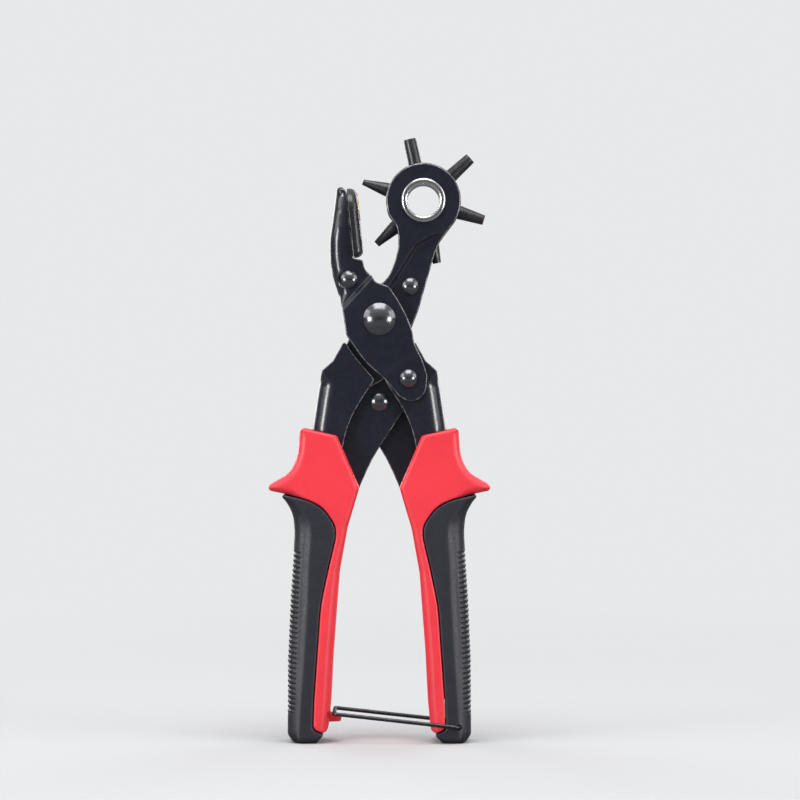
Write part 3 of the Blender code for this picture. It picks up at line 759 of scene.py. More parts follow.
def nickel():
    """Bright nickel plate with faint turning marks."""
    centre = axis_of("punch_wheel_spin")
    finish = Finish("nickel_look", (0.5, 0.51, 0.53), 0.16, 1.0)
    finish.tint(finish.noise(0.7, 4), (0.4, 0.41, 0.43), (0.56, 0.57, 0.59))
    finish.roughen(finish.noise(2.5, 4), 0.18, 0.3)
    finish.bump(finish.rings(2.2, centre), 0.002)
    finish.bump(finish.noise(0.8, 2), 0.006)
    return finish.material


def tube_steel():
    """Dark phosphated hardened steel, slightly grainy."""
    finish = Finish("tube_steel_look", (0.05, 0.05, 0.054), 0.38, 0.8)
    finish.tint(finish.noise(1.6, 5), (0.034, 0.034, 0.037), (0.068, 0.068, 0.072))
    finish.roughen(finish.noise(2.2, 5), 0.28, 0.46)
    finish.bump(finish.noise(6.0, 3), 0.006)
    return finish.material


def brass():
    """Satin brass with a turned face."""
    finish = Finish("brass_look", (0.55, 0.35, 0.12), 0.3, 1.0)
    finish.tint(finish.noise(0.8, 4), (0.44, 0.27, 0.09), (0.6, 0.39, 0.15))
    finish.roughen(finish.noise(2.5, 4), 0.22, 0.4)
    finish.bump(finish.noise(3.0, 2), 0.006)
    return finish.material


def black_plastic():
    """Moulded black plastic of the anvil plate."""
    finish = Finish("black_plastic_look", (0.014, 0.0145, 0.017), 0.28)
    finish.tint(finish.noise(0.2, 4), (0.012, 0.0125, 0.015), (0.016, 0.0165, 0.019))
    finish.roughen(finish.noise(0.9, 4), 0.22, 0.34)
    finish.bump(finish.noise(0.5, 2), 0.012)
    return finish.material


def red_plastic():
    """Satin red moulding with a very fine skin."""
    finish = Finish("red_plastic_look", (0.72, 0.03, 0.047), 0.42)
    finish.tint(finish.noise(0.06, 3), (0.69, 0.027, 0.043), (0.75, 0.033, 0.051))
    finish.roughen(finish.noise(0.6, 4), 0.38, 0.5)
    finish.set("Subsurface Weight", 0.06)
    finish.set("Subsurface Radius", (0.004, 0.001, 0.0008))
    finish.set("Subsurface Scale", 0.3)
    finish.bump(finish.noise(0.16, 1), 0.03)
    finish.bump(finish.noise(4.5, 3), 0.004)
    return finish.material


def black_grip():
    """Matt, fine-grained black grip."""
    finish = Finish("black_grip_look", (0.0125, 0.013, 0.02), 0.48)
    finish.tint(finish.noise(0.2, 4), (0.0105, 0.011, 0.017), (0.0145, 0.015, 0.023))
    finish.roughen(finish.noise(1.2, 4), 0.4, 0.54)
    finish.bump(finish.noise(2.6, 4), 0.035)
    return finish.material


FINISHES = {
    "painted_steel": painted_steel(), "rivet_steel": rivet_steel(), "bare_steel": bare_steel(),
    "spring_steel": spring_steel(), "nickel": nickel(), "tube_steel": tube_steel(),
    "brass": brass(), "black_plastic": black_plastic(), "red_plastic": red_plastic(),
    "black_grip": black_grip(),
}


# ---------------------------------------------------------------- main pivot

PIVOT_PIN, PIVOT_HOLE = 3.2, 3.5
SPRING_WIRE = 0.5
SPRING_RADIUS = 5.3
SPRING_TURNS = 2.55
SPRING_PITCH = 1.15
SPRING_START = math.radians(41)
SPRING_LEFT_END = (-7.3, 16.4)
SPRING_RIGHT_END = (8.0, 15.2)


def spring_path():
    """Centre line of the torsion spring, with its two legs."""
    steps = int(SPRING_TURNS * 40)
    coil = []
    for step in range(steps + 1):
        share = step / steps
        angle = SPRING_START - share * SPRING_TURNS * 2 * math.pi
        y = (share - 0.5) * SPRING_TURNS * SPRING_PITCH
        coil.append((SPRING_RADIUS * math.cos(angle), y, SPRING_RADIUS * math.sin(angle)))
    first = (SPRING_RIGHT_END[0], coil[0][1], SPRING_RIGHT_END[1])
    last = (SPRING_LEFT_END[0], coil[-1][1], SPRING_LEFT_END[1])
    return [first] + coil + [last]


def main_pivot():
    """Rivet, sleeve, washers and spring."""
    domed_rivet("main_pivot_rivet", "pivot", (0, 0), PIVOT_PIN, 6.2, 2.4, OUTER[1] + 0.2)
    ring_piece("pivot_sleeve", "pivot", PIVOT_HOLE, "bare_steel")
    ring_piece("pivot_washer_front", "pivot", PIVOT_HOLE, "bare_steel")
    ring_piece("pivot_washer_back", "pivot", PIVOT_HOLE, "bare_steel")
    wire_piece("opening_spring", "pivot", spring_path(), SPRING_WIRE, "spring_steel")


# ---------------------------------------------------------------- anvil jaw

ANVIL_NECK = (-11.5, 15.0)
LINK_RIGHT = axis_of("left_handle_hinge")
NECK_PIN, NECK_HOLE = 1.7, 2.0
LINK_PIN, LINK_HOLE = 1.9, 2.2
SPINE_RADIUS = 4.6
ANVIL_JAW = [
    (-16.4, 49.6, 1.2), (-18.0, 37.0, 30), (-19.0, 30.2, 20), (-18.9, 22.6, 20),
    (-17.6, 15.8, 20), (-15.5, 9.3, 20), (-14.0, 3.4, 8), (-13.4, 0.0, 10), (-12.5, -6.2, 3),
    (-5.5, -16.2, 30), (2.1, -22.8, 20), (7.4, -29.2, 3), (12.0, -31.8, 6), (17.4, -28.8, 6),
    (18.3, -21.5, 6), (16.2, -15.3, 8), (13.3, -9.5, 10), (12.4, -4.0, 20), (10.1, 1.7, 20),
    (7.0, 7.4, 20), (3.6, 12.4, 2), (-1.5, 14.0, 2), (-2.7, 16.2, 1), (-5.4, 18.7, 3),
    (-6.3, 22.4, 1), (-9.85, 23.0, 0.3), (-12.5, 48.3, 1.2), (-14.2, 50.2, 1.2),
]
ANVIL_JAW_CAVITY = [
    (-14.9, 54.0, 0), (-16.5, 37.0, 30), (-17.5, 30.2, 20), (-17.4, 22.6, 20),
    (-16.1, 15.8, 20), (-14.0, 9.3, 10), (-13.0, 5.2, 1), (-22.0, 0.0, 0), (-22.0, -40.0, 0),
    (26.0, -40.0, 0), (26.0, 20.0, 0), (0.0, 28.0, 0), (0.0, 54.0, 0),
]
JAW_STEP = [(-22.3, -5.0), (4.0, 23.8)]
JAW_STEP_WIDTH = 2.1
BELLY_CENTRE, BELLY_REACH, BELLY_HEIGHT = 35.0, 15.0, 0.9
TAIL_EMBOSS = [(24.0, -5.65), (-8.0, -27.5)]
TAIL_EMBOSS_DEPTH = 0.22
TAIL_EMBOSS_WIDTH = 4.0


def side_distance(points, line):
    """Signed distance to an open line, positive on its left."""
    line = np.array(line, float)
    gap, _, side = nearest_on(points, line[:-1], line[1:])
    return gap * side


def beside(line, offsets, spacing=0.9):
    """Lines that run along a line at the given distances."""
    line = resampled([tuple(point) for point in line], spacing, closed=False)
    forward = np.gradient(line, axis=0)
    forward /= np.linalg.norm(forward, axis=1)[:, None]
    normal = np.stack((-forward[:, 1], forward[:, 0]), axis=1)
    return [line + normal * offset for offset in offsets]


def step_offsets(width):
    """Distances at which a pressed step bends."""
    return [width * share for share in (-0.55, -0.42, -0.28, -0.14, 0, 0.14, 0.28, 0.42, 0.55)]


def jaw_half(points):
    """Half the anvil jaw's outer thickness: a bellied cheek, and wider over the pivot."""
    share = smooth(0.5 - side_distance(points, JAW_STEP) / JAW_STEP_WIDTH)
    reach = np.clip((points[:, 1] - BELLY_CENTRE) / BELLY_REACH, -1, 1)
    belly = BELLY_HEIGHT * np.cos(math.pi / 2 * reach) ** 2
    return MIDDLE[1] + belly + (OUTER[1] - MIDDLE[1]) * share


def jaw_outer(points):
    """The same with a faint emboss at the tail."""
    share = smooth(0.5 + side_distance(points, TAIL_EMBOSS) / TAIL_EMBOSS_WIDTH)
    return jaw_half(points) - TAIL_EMBOSS_DEPTH * share


def on_jaw_spine(places):
    """1 along the folded left edge of the anvil jaw, 0 elsewhere."""
    line = side_distance(places, [(-13.2, 54.0), (-14.3, 30.0), (-11.0, 3.0)])
    return smooth(-line / 0.8) * smooth((places[:, 1] - 4.5) / 5.0) * smooth(
        (51.5 - places[:, 1]) / 4.0)


def anvil_jaw_channel():
    """The folded anvil jaw with its pressed step."""
    lines = beside(JAW_STEP, step_offsets(JAW_STEP_WIDTH)) + beside(
        TAIL_EMBOSS, step_offsets(TAIL_EMBOSS_WIDTH), 1.5)

    def edge(places):
        return 0.45 + (SPINE_RADIUS - 0.45) * on_jaw_spine(places)

    def cavity_edge(places):
        spine = smooth((places[:, 1] - 4.0) / 4.0) * (places[:, 0] < -12)
        return 0.1 + (SPINE_RADIUS - SHEET - 0.1) * spine

    holes = [((0, 0), PIVOT_HOLE), (ANVIL_NECK, NECK_HOLE), (LINK_RIGHT, LINK_HOLE)]
    jaw = slab("anvil_jaw_look", ANVIL_JAW, lambda p: -jaw_outer(p), jaw_outer, holes, edge,
               lines)
    cavity = slab("jaw_cavity", ANVIL_JAW_CAVITY, lambda p: SHEET - jaw_half(p),
                  lambda p: jaw_half(p) - SHEET, (), cavity_edge, lines, 4.0)
    carve(jaw, cavity)
    return finish_piece(jaw, "anvil_jaw", "painted_steel", "anvil_jaw_channel")


# ---------------------------------------------------------------- anvil plate

ANVIL_TOP = (-12.3, 49.6)
ANVIL_TILT = math.radians(6.2)
ANVIL_LENGTH = 26.0
ANVIL_WIDTH = 20.0
ANVIL_THICK = 3.5
ANVIL_PILLOW = 2.8
PLATE_SEAT = 0.2
DISC_RADIUS = 5.4
DISC_FROM_TOP = 7.2
DISC_RECESS = 1.2
DISC_PROUD = 0.3
DISC_GAP = 0.2


def anvil_turn():
    """Frame of the anvil plate: x across, z down the plate, y out of its face."""
    down = Vector((math.sin(ANVIL_TILT), 0, -math.cos(ANVIL_TILT)))
    across = Vector((0, 1, 0))
    out = Vector((math.cos(ANVIL_TILT), 0, math.sin(ANVIL_TILT)))
    turn = Matrix((across, out, down)).transposed().to_4x4()
    return Matrix.Translation((ANVIL_TOP[0], 0, ANVIL_TOP[1])) @ turn


def anvil_plate():
    """Black plate with a recess and a stud, and the brass disc."""
    turn = anvil_turn()
    half = ANVIL_WIDTH / 2
    corners = [(-half, 0, 8.5), (half, 0, 8.5), (half, ANVIL_LENGTH, 1.5),
               (-half, ANVIL_LENGTH, 1.5)]

    outline = np.array(rounded(corners))

    def face(points):
        gap = np.linalg.norm(points - np.array((0, DISC_FROM_TOP)), axis=1)
        inner = DISC_RADIUS + DISC_GAP
        rim, _, _ = nearest_on(points, outline, np.roll(outline, -1, axis=0))
        pillow = ANVIL_THICK - rounding(rim, ANVIL_PILLOW)
        floor = ANVIL_THICK - DISC_RECESS
        return floor + (pillow - floor) * smooth((gap - inner + 0.05) / 0.3)

    rings = [circle((0, DISC_FROM_TOP), DISC_RADIUS + DISC_GAP + extra, 64)
             for extra in (-0.4, -0.05, 0.05, 0.15, 0.25, 0.5)]
    inner_lines = [oriented(outline, True) + loop_normals(oriented(outline, True)) * depth
                   for depth in (0.6, 1.0, 1.5, 2.1, 2.8)]
    plate = slab("anvil_plate_look", corners, -PLATE_SEAT, face, (), 0.25, rings + inner_lines, 1.6,
                 turn)
    stud = slab("stud", [(-2.2, 14.0, 0.4), (2.2, 14.0, 0.4), (2.2, 18.4, 0.4),
                         (-2.2, 18.4, 0.4)], -4.0, 0.5, (), 0.2, (), 2.0, turn)
    join(plate, stud)
    finish_piece(plate, "anvil_jaw", "black_plastic", "anvil_plate")
    low = ANVIL_THICK - DISC_RECESS + 0.15
    high = ANVIL_THICK + DISC_PROUD
    profile = [(0.0, high), (DISC_RADIUS, high), (DISC_RADIUS, low), (0.0, low)]
    profile = round_profile(profile, 0.4, 4)
    spot = turn @ Matrix.Translation((0, 0, DISC_FROM_TOP)) @ Matrix.Rotation(
        math.radians(-90), 4, "X")
    disc = lathe("anvil_brass_disc_look", profile, spot, 72)
    finish_piece(disc, "anvil_jaw", "brass", "anvil_brass_disc", turned=True)


def anvil_jaw():
    """The anvil jaw and its fasteners."""
    anvil_jaw_channel()
    anvil_plate()
    domed_rivet("anvil_neck_rivet", "anvil_jaw", ANVIL_NECK, NECK_PIN, 3.4, 1.6,
                MIDDLE[1] + 0.2)
    domed_rivet("anvil_link_pin", "anvil_jaw", LINK_RIGHT, LINK_PIN, 3.4, 1.6, OUTER[1] + 0.2)
    ring_piece("anvil_neck_spacer", "anvil_jaw", NECK_HOLE, "bare_steel")
    ring_piece("anvil_link_spacer_front", "anvil_jaw", LINK_HOLE, "bare_steel")
    ring_piece("anvil_link_spacer_back", "anvil_jaw", LINK_HOLE, "bare_steel")


# ---------------------------------------------------------------- wheel jaw

WHEEL_CENTRE = axis_of("punch_wheel_spin")
WHEEL_NECK = (11.6, 12.5)
LINK_LEFT = axis_of("right_handle_hinge")
FLUSH_HOLE = 2.7
HEAD_RADIUS = 14.25
HUB_BORE = 7.3
EYELET_BORE = 6.1
EYELET_BARREL = 7.0
EYELET_FLANGE = 8.4
EYELET_TOP = 7.35
WHEEL_JAW_STEP = [
    (-20.0, 8.3, 0), (1.6, 8.3, 2), (9.45, 20.6, 8), (14.2, 28.25, 6), (20.6, 31.75, 6),
    (34.0, 35.6, 0),
]
WHEEL_JAW_STEP_WIDTH = 1.6
WHEEL_JAW_BELOW_HEAD = [
    (4.3, 38.4, 4), (6.5, 35.4, 6), (7.2, 31.0, 8), (7.0, 26.4, 10), (5.7, 21.4, 10),
    (3.4, 15.8, 10), (-4.0, 9.4, 6), (-10.2, 3.5, 8), (-11.0, -6.0, 8), (-16.3, -18.6, 5),
    (-16.6, -24.8, 4), (-11.6, -28.4, 4), (-5.6, -26.8, 4), (1.6, -23.0, 2), (3.6, -14.0, 8),
    (11.0, -6.5, 6), (15.0, 4.0, 10), (17.1, 11.5, 20), (18.4, 16.0, 20), (20.0, 21.5, 20),
    (21.2, 25.5, 10), (22.8, 29.3, 8), (25.4, 32.9, 3),
]
HEAD_START, HEAD_END, HEAD_STEPS = math.radians(-40), math.radians(203), 80


def wheel_jaw_outline():
    """Head arc around the wheel's centre, then the neck, the arm and the tail."""
    arc = []
    for step in range(HEAD_STEPS + 1):
        angle = HEAD_START + (HEAD_END - HEAD_START) * step / HEAD_STEPS
        arc.append((WHEEL_CENTRE[0] + HEAD_RADIUS * math.cos(angle),
                    WHEEL_CENTRE[1] + HEAD_RADIUS * math.sin(angle), 0))
    return arc + WHEEL_JAW_BELOW_HEAD


def wheel_jaw_plate(word, side):
    """One cheek of the wheel jaw, with its pressed step."""
    step = rounded(WHEEL_JAW_STEP, closed=False)

    def level(low, high):
        def height(points):
            share = smooth(0.5 + side_distance(points, step) / WHEEL_JAW_STEP_WIDTH)
            return low + (high - low) * share
        return height

    near, far = level(INNER[0], MIDDLE[0]), level(INNER[1], MIDDLE[1])
    bottom, top = (near, far) if side > 0 else (lambda p: -far(p), lambda p: -near(p))
    holes = [((0, 0), PIVOT_HOLE), (WHEEL_NECK, NECK_HOLE), (LINK_LEFT, FLUSH_HOLE),
             (WHEEL_CENTRE, HUB_BORE)]
    lines = beside(step, step_offsets(WHEEL_JAW_STEP_WIDTH))

    def edge(places):
        """Rounder around the head than along the arm."""
        return 0.5 + 0.23 * smooth((places[:, 1] - 38.0) / 4.0)

    plate = slab(f"wheel_jaw_{word}_look", wheel_jaw_outline(), bottom, top, holes, edge, lines)
    return finish_piece(plate, "wheel_jaw", "painted_steel", f"wheel_jaw_{word}_plate")


def wheel_eyelet():
    """Bright eyelet rolled over both cheeks."""
    seat = MIDDLE[1] + 0.2
    middle = (EYELET_BORE + EYELET_FLANGE) / 2
    half_width = (EYELET_FLANGE - EYELET_BORE) / 2
    half = []
    for step in range(13):
        angle = math.pi * (1 - step / 12)
        height = seat + (EYELET_TOP - seat) * math.sin(angle) ** 0.8
        half.append((middle + half_width * math.cos(angle), height))
    half += [(EYELET_FLANGE - 0.2, seat - 0.02), (EYELET_BARREL, seat - 0.02)]
    profile = half + [(radius, -height) for radius, height in reversed(half)]
    eyelet = lathe("wheel_eyelet_look", profile, along_y(WHEEL_CENTRE), 112, closed=True)
    finish_piece(eyelet, "wheel_jaw", "nickel", "wheel_eyelet", sharp=45)


def wheel_jaw():
    """The wheel jaw and its fasteners."""
    wheel_jaw_plate("front", -1)
    wheel_jaw_plate("back", 1)
    wheel_eyelet()
    domed_rivet("wheel_neck_rivet", "wheel_jaw", WHEEL_NECK, NECK_PIN, 3.4, 1.6, INNER[1] + 0.2)
    ring_piece("wheel_neck_spacer", "wheel_jaw", NECK_HOLE, "bare_steel")
    pin_piece("wheel_link_pin", "wheel_jaw")
    ring_piece("wheel_link_spacer", "wheel_jaw", FLUSH_HOLE, "bare_steel")
    ring_piece("wheel_wave_washer", "wheel_jaw", HUB_BORE, "spring_steel", 0.1)


# ---------------------------------------------------------------- punch wheel

HUB_RADIUS = 11.8
HUB_LOW, HUB_HIGH = -4.4, 3.7
TUBE_ROOT = 8.8
TUBE_TIP = 24.1
TUBE_BASE_RADIUS = 2.6
FIRST_TUBE_ANGLE = 102.5
TUBE_BORES = (4.5, 4.0, 3.5, 3.0, 2.5, 2.0)


def radial(index, distance):
    """Frame at a distance from the wheel's centre, its Z axis along a tube."""
    angle = math.radians(FIRST_TUBE_ANGLE - 60 * index)
    direction = Vector((math.cos(angle), 0, math.sin(angle)))
    centre = Vector((WHEEL_CENTRE[0], 0, WHEEL_CENTRE[1]))
    turn = direction.to_track_quat("Z", "Y").to_matrix().to_4x4()
    return Matrix.Translation(centre + direction * distance) @ turn


def punch_tube(index, bore):
    """A hollow tube with a stepped foot, a tapered nose and a ground rim."""
    length = TUBE_TIP - TUBE_ROOT
    inner = bore / 2
    outer = [(inner, length - 9.0), (inner, length - 0.05), (inner + 0.04, length),
             (inner + 0.08, length), (inner + 0.2, length - 0.9), (inner + 0.24, length - 1.3),
             (TUBE_BASE_RADIUS - 0.06, 6.6), (TUBE_BASE_RADIUS, 6.2), (TUBE_BASE_RADIUS, 0.3),
             (TUBE_BASE_RADIUS - 0.3, 0.0)]
    profile = [(0.0, length - 9.0)] + outer + [(0.0, 0.0)]
    tube = lathe(f"punch_tube_{index + 1}_look", profile, radial(index, TUBE_ROOT), 56)
    finish_piece(tube, "punch_wheel", "tube_steel", f"punch_tube_{index + 1}", sharp=28,
                 turned=True)


def wheel_hub():
    """The wheel's body, with a socket for each tube."""
    profile = [(HUB_BORE, HUB_HIGH), (HUB_RADIUS, HUB_HIGH), (HUB_RADIUS, HUB_LOW),
               (HUB_BORE, HUB_LOW)]
    hub = lathe("wheel_hub_look", round_profile(profile, 0.6, 3, closed=True),
                along_y(WHEEL_CENTRE), 96, closed=True)
    sockets = []
    radius = TUBE_BASE_RADIUS + 0.2
    for index in range(len(TUBE_BORES)):
        profile = [(0.0, 10.0), (radius, 10.0), (radius, 0.0), (0.0, 0.0)]
        sockets.append(lathe("socket", profile, radial(index, TUBE_ROOT - 0.3), 48))
    carve(hub, *sockets)
    finish_piece(hub, "punch_wheel", "tube_steel", "wheel_hub", turned=True)


def punch_wheel():
    """The hub and its six tubes."""
    wheel_hub()
    for index, bore in enumerate(TUBE_BORES):
        punch_tube(index, bore)


# ---------------------------------------------------------------- handles

CHANNEL = [
    (13.4, -8.2, 0.8), (17.6, -15.8, 3), (21.7, -19.4, 1.5), (23.2, -26.0, 10),
    (25.3, -40.0, 30), (27.5, -60.0, 30), (29.6, -80.0, 30), (30.6, -100.0, 30),
    (30.6, -146.0, 2), (21.0, -146.0, 2), (20.2, -125.0, 60), (18.6, -98.0, 60),
    (14.6, -70.0, 60), (14.1, -47.3, 40), (10.3, -35.9, 45), (1.8, -22.8, 1), (8.6, -14.9, 20),
]
CHANNEL_CAVITY = [
    (6.0, 0.0, 0), (24.0, -10.0, 0), (24.0, -18.2, 0), (20.3, -19.9, 0), (21.7, -26.0, 10),
    (23.8, -40.0, 30), (26.0, -60.0, 30), (28.1, -80.0, 30), (29.1, -100.0, 30),
    (29.1, -150.0, 0), (10.0, -150.0, 0), (0.0, -60.0, 0), (-4.0, -22.0, 0),
]
CHANNEL_FOLD, CAVITY_FOLD = 6.0, 3.0
GRIP_HOLLOW = [
    (10.0, -36.0, 0), (13.0, -44.0, 0), (14.2, -56.0, 4), (14.3, -70.0, 10),
    (18.2, -98.0, 20), (19.8, -125.0, 20), (20.6, -146.4, 1), (31.0, -146.4, 1),
    (31.0, -100.0, 30), (30.0, -80.0, 30), (27.9, -60.0, 30), (25.7, -40.0, 30), (25.0, -36.0, 0),
]
LEVER_SLOT = [
    (-2.0, -46.0, 0), (2.2, -52.8, 0), (6.7, -63.2, 8), (11.9, -75.3, 10), (18.5, -98.2, 10),
    (19.4, -106.5, 2), (28.2, -106.5, 2), (26.2, -85.0, 10), (23.0, -60.0, 10),
    (20.0, -40.0, 0), (-2.0, -40.0, 0),
]
LEVER_PLATE = [
    (-7.0, -16.8, 4), (-16.8, -17.2, 5), (-16.6, -27.0, 4), (-8.7, -35.1, 22),
    (-6.1, -39.3, 60), (2.7, -52.6, 60), (7.2, -62.9, 60), (12.4, -75.0, 60),
    (19.0, -98.0, 10), (20.0, -106.0, 2), (27.6, -106.0, 2), (25.6, -85.0, 10),
    (22.4, -60.0, 10), (17.5, -46.0, 8), (10.0, -29.5, 8),
]
RED_GRIP = [
    (16.0, -44.1, 1.5), (30.0, -41.0, 1.5), (30.6, -51.5, 18), (33.8, -58.2, 11.5),
    (44.4, -64.2, 1.4), (36.5, -65.9, 4), (27.0, -68.0, 24), (21.0, -71.2, 13),
    (16.5, -77.8, 8), (16.2, -82.2, 14), (19.0, -94.0, 40), (22.0, -108.0, 60),
    (23.3, -126.4, 30), (24.6, -145.0, 20), (24.9, -154.8, 2.4), (19.6, -157.0, 2.6),
    (18.4, -144.6, 20), (17.5, -126.7, 20), (16.0, -106.6, 20), (15.2, -96.0, 15),
    (12.2, -79.2, 15), (10.6, -73.9, 10), (7.6, -63.7, 3),
]
BLACK_GRIP = [
    (37.6, -66.1, 1.5), (35.4, -68.8, 8), (32.7, -73.6, 13), (32.0, -80.0, 30),
    (32.6, -90.0, 60), (33.6, -106.0, 60), (34.6, -128.0, 60), (34.7, -157.0, 2.5),
    (32.5, -160.3, 2.5), (24.0, -160.3, 2), (20.9, -156.95, 0.5), (25.2, -155.15, 2.4),
    (24.9, -145.0, 60), (23.6, -126.4, 60), (22.3, -108.0, 60), (19.3, -93.9, 40),
    (16.5, -82.2, 14), (16.8, -77.9, 8), (21.2, -71.5, 13), (27.1, -68.33, 24),
]
HOOK_LEDGE = [
    (-19.6, -147.0, 0), (-18.5, -149.4, 0.6), (-14.3, -150.3, 0.8), (-14.6, -152.4, 0.8),
    (-19.6, -152.6, 0),
]
LINK_SLOT_END = (13.6, -27.5)
LINK_SLOT_RADIUS = LINK_PIN + 0.4
LEVER_RIVETS = ((21.2, -66.0), (23.6, -92.0))
LEVER_RIVET_HOLE = 2.3
LEVER_CROSSING = (0.0, -31.2)
CROSSING_PIN = 2.0
CROSSING_HOLE = 2.5
GRIP_HALF = 11.0
BORDER_EDGE = 0.7
FINGER_EDGE = 1.2
BORDER_TABLE = ((-66.0, -68.0, -71.2, -77.8, -82.2, -94.0, -108.0, -126.4, -145.0, -157.0),
                (33.0, 27.0, 21.0, 16.5, 16.2, 19.0, 22.0, 23.3, 24.6, 24.9))
FINGER_LINE = [
    (24.0, -25.4, 0), (7.6, -63.7, 3), (10.6, -73.9, 10), (12.2, -79.2, 15), (15.2, -96.0, 15),
    (16.0, -106.6, 20), (17.5, -126.7, 20), (18.4, -144.6, 20), (20.0, -164.0, 0),
]
FINGER_CREASE = ((-60.0, -70.0, -80.0, -95.0, -110.0, -157.0), (1.4, 1.6, 1.8, 2.3, 2.7, 3.0))
PALM_CREASE = [
    (37.5, -66.4, 0), (33.3, -69.0, 10), (28.9, -72.6, 8), (26.2, -76.8, 8), (25.7, -81.5, 20),
    (26.5, -92.0, 60), (27.1, -108.0, 60), (28.3, -128.0, 60), (29.3, -142.0, 60),
    (30.6, -163.0, 0),
]
PALM_BEVEL = 2.2
PALM_TABLE = ((-80.0, -90.0, -106.0, -128.0, -157.0), (32.0, 32.6, 33.6, 34.6, 34.7))
RIB_TOP, RIB_BOTTOM, RIB_PITCH = -86.5, -149.5, 1.9
RIB_DEPTH = 0.42
RIB_FROM = 29.4
BAIL_HOLE = 1.1


def flipped(points, side):
    """Points read as if they lay on the right handle."""
    return points * np.array((side, 1.0))


def capsule(start, end, radius):
    """Outline of a slot between two points."""
    first, last = Vector(start), Vector(end)
    along = (last - first).normalized() * radius
    across = Vector((-along.y, along.x))
    points = (first - along + across, first - along - across,
              last + along - across, last + along + across)
    return [(point.x, point.y, radius) for point in points]


def handle_channel(word, side):
    """A folded handle with a rolled outer edge."""
    def fold(places, outer, inner):
        place = flipped(places, side)
        on_spine = smooth((place[:, 0] - 20.3) / 1.2) * smooth((-19.4 - place[:, 1]) / 5.0)
        return inner + (outer - inner) * on_spine

    def cavity_fold(places, outer, inner):
        place = flipped(places, side)
        on_spine = smooth((place[:, 0] - 19.0) / 1.2) * smooth((-19.4 - place[:, 1]) / 5.0)
        return inner + (outer - inner) * on_spine

    holes = [((side * x, z), LEVER_RIVET_HOLE) for x, z in LEVER_RIVETS]
    channel = slab(f"{word}_channel_look", side_of(CHANNEL, side), -MIDDLE[1], MIDDLE[1], holes,
                   lambda places: fold(places, CHANNEL_FOLD, EDGE), (), 5.0)
    cutters = [slab("cavity", side_of(CHANNEL_CAVITY, side), -MIDDLE[0], MIDDLE[0], (),
                    lambda places: cavity_fold(places, CAVITY_FOLD, 0.1), (), 8.0)]
    if side > 0:
        slot = capsule(LINK_RIGHT, LINK_SLOT_END, LINK_SLOT_RADIUS)
        cutters.append(prism("slot", slot, -MIDDLE[1] - 1, MIDDLE[1] + 1))
    carve(channel, *cutters)
    finish_piece(channel, f"{word}_handle", "painted_steel", f"{word}_handle_channel")


def lever(word, side):
    """The flat lever inside a handle."""
    low, high = LEVER if side > 0 else (-LEVER[1], -LEVER[0])
    link = (-side * LINK_RIGHT[0], LINK_RIGHT[1])
    holes = [(link, FLUSH_HOLE if side > 0 else LINK_HOLE),
             (LEVER_CROSSING, CROSSING_HOLE if side > 0 else CROSSING_PIN + 0.3)]
    holes += [((side * x, z), LEVER_RIVET_HOLE) for x, z in LEVER_RIVETS]
    plate = slab(f"{word}_lever_look", side_of(LEVER_PLATE, side), low, high, holes, EDGE, (), 5.0)
    finish_piece(plate, f"{word}_handle", "painted_steel", f"{word}_lever")


def red_edge(places, side):
    """Rounding of the red grip: large on the outside, tight at the border."""
    place = flipped(places, side)
    x, z = place[:, 0], place[:, 1]
    border_x = blend_table(*BORDER_TABLE, z)
    on_border = smooth((-62 - z) / 6) * smooth((border_x + 2.5 - x) / 2)
    radius = FINGER_EDGE + 1.8 * smooth((x - 29.0) / 1.2)
    return radius + (BORDER_EDGE - radius) * on_border


def red_half(points, side):
    """Half thickness of the red grip: flat, and sloping to the finger side."""
    place = flipped(points, side)
    inward = side_distance(place, rounded(FINGER_LINE, closed=False))
    crease = blend_table(*FINGER_CREASE, place[:, 1])
    beyond = soft_ramp(crease - inward, 0.35)
    return GRIP_HALF - 0.36 * beyond - 0.16 * beyond ** 2


def black_edge(places, side):
    """Rounding of the black grip: large outside, tight at the border."""
    place = flipped(places, side)
    x, z = place[:, 0], place[:, 1]
    outside = smooth((x - 30.0) / 1.5) * smooth((-66.8 - z) / 4)
    foot = smooth((-158.5 - z) / 1.2)
    return BORDER_EDGE + 3.3 * np.maximum(outside, 0.45 * foot)


def black_half(points, side):
    """Half thickness of the black grip, falling away outside its crease."""
    place = flipped(points, side)
    beyond = side_distance(place, rounded(PALM_CREASE, closed=False))
    fall = 0.5 * soft_ramp(beyond, 0.6) - 0.36 * soft_ramp(beyond - PALM_BEVEL, 0.8)
    height = GRIP_HALF - fall - 0.03 * soft_ramp(-beyond, 0.7)
    return height - RIB_DEPTH * rib_mask(place) * rib_wave(place[:, 1])


def rib_mask(place):
    """1 on the ribbed part of the outer face."""
    x, z = place[:, 0], place[:, 1]
    start = blend_table((-86, -106, -128, -150), (29.4, 30.2, 31.1, 31.8), z)
    ends = smooth((RIB_TOP - z) / 1.5) * smooth((z - RIB_BOTTOM) / 1.5)
    return smooth((x - start) / 0.9) * ends


def rib_wave(z):
    """Grooves between the ribs, 0 on a rib and 1 in a groove."""
    phase = (z - RIB_TOP) / RIB_PITCH
    return smooth(1.6 * (0.5 + 0.5 * np.cos(2 * math.pi * phase)) - 0.45)


def rib_rows(side):
    """Sampling lines across the ribs."""
    rows = []
    for z in np.arange(RIB_BOTTOM - 0.5, RIB_TOP + 0.8, RIB_PITCH / 8):
        rows.append(np.array([(side * x, z) for x in np.arange(RIB_FROM - 0.6, 34.4, 0.45)]))
    return rows


def crease_rows(side):
    """Sampling lines along the crease."""
    line = rounded(PALM_CREASE, closed=False)
    return [flipped(row, side) for row in beside(line, (-1.0, -0.5, 0, 0.5, 1.0, 1.6, 2.4), 1.3)]


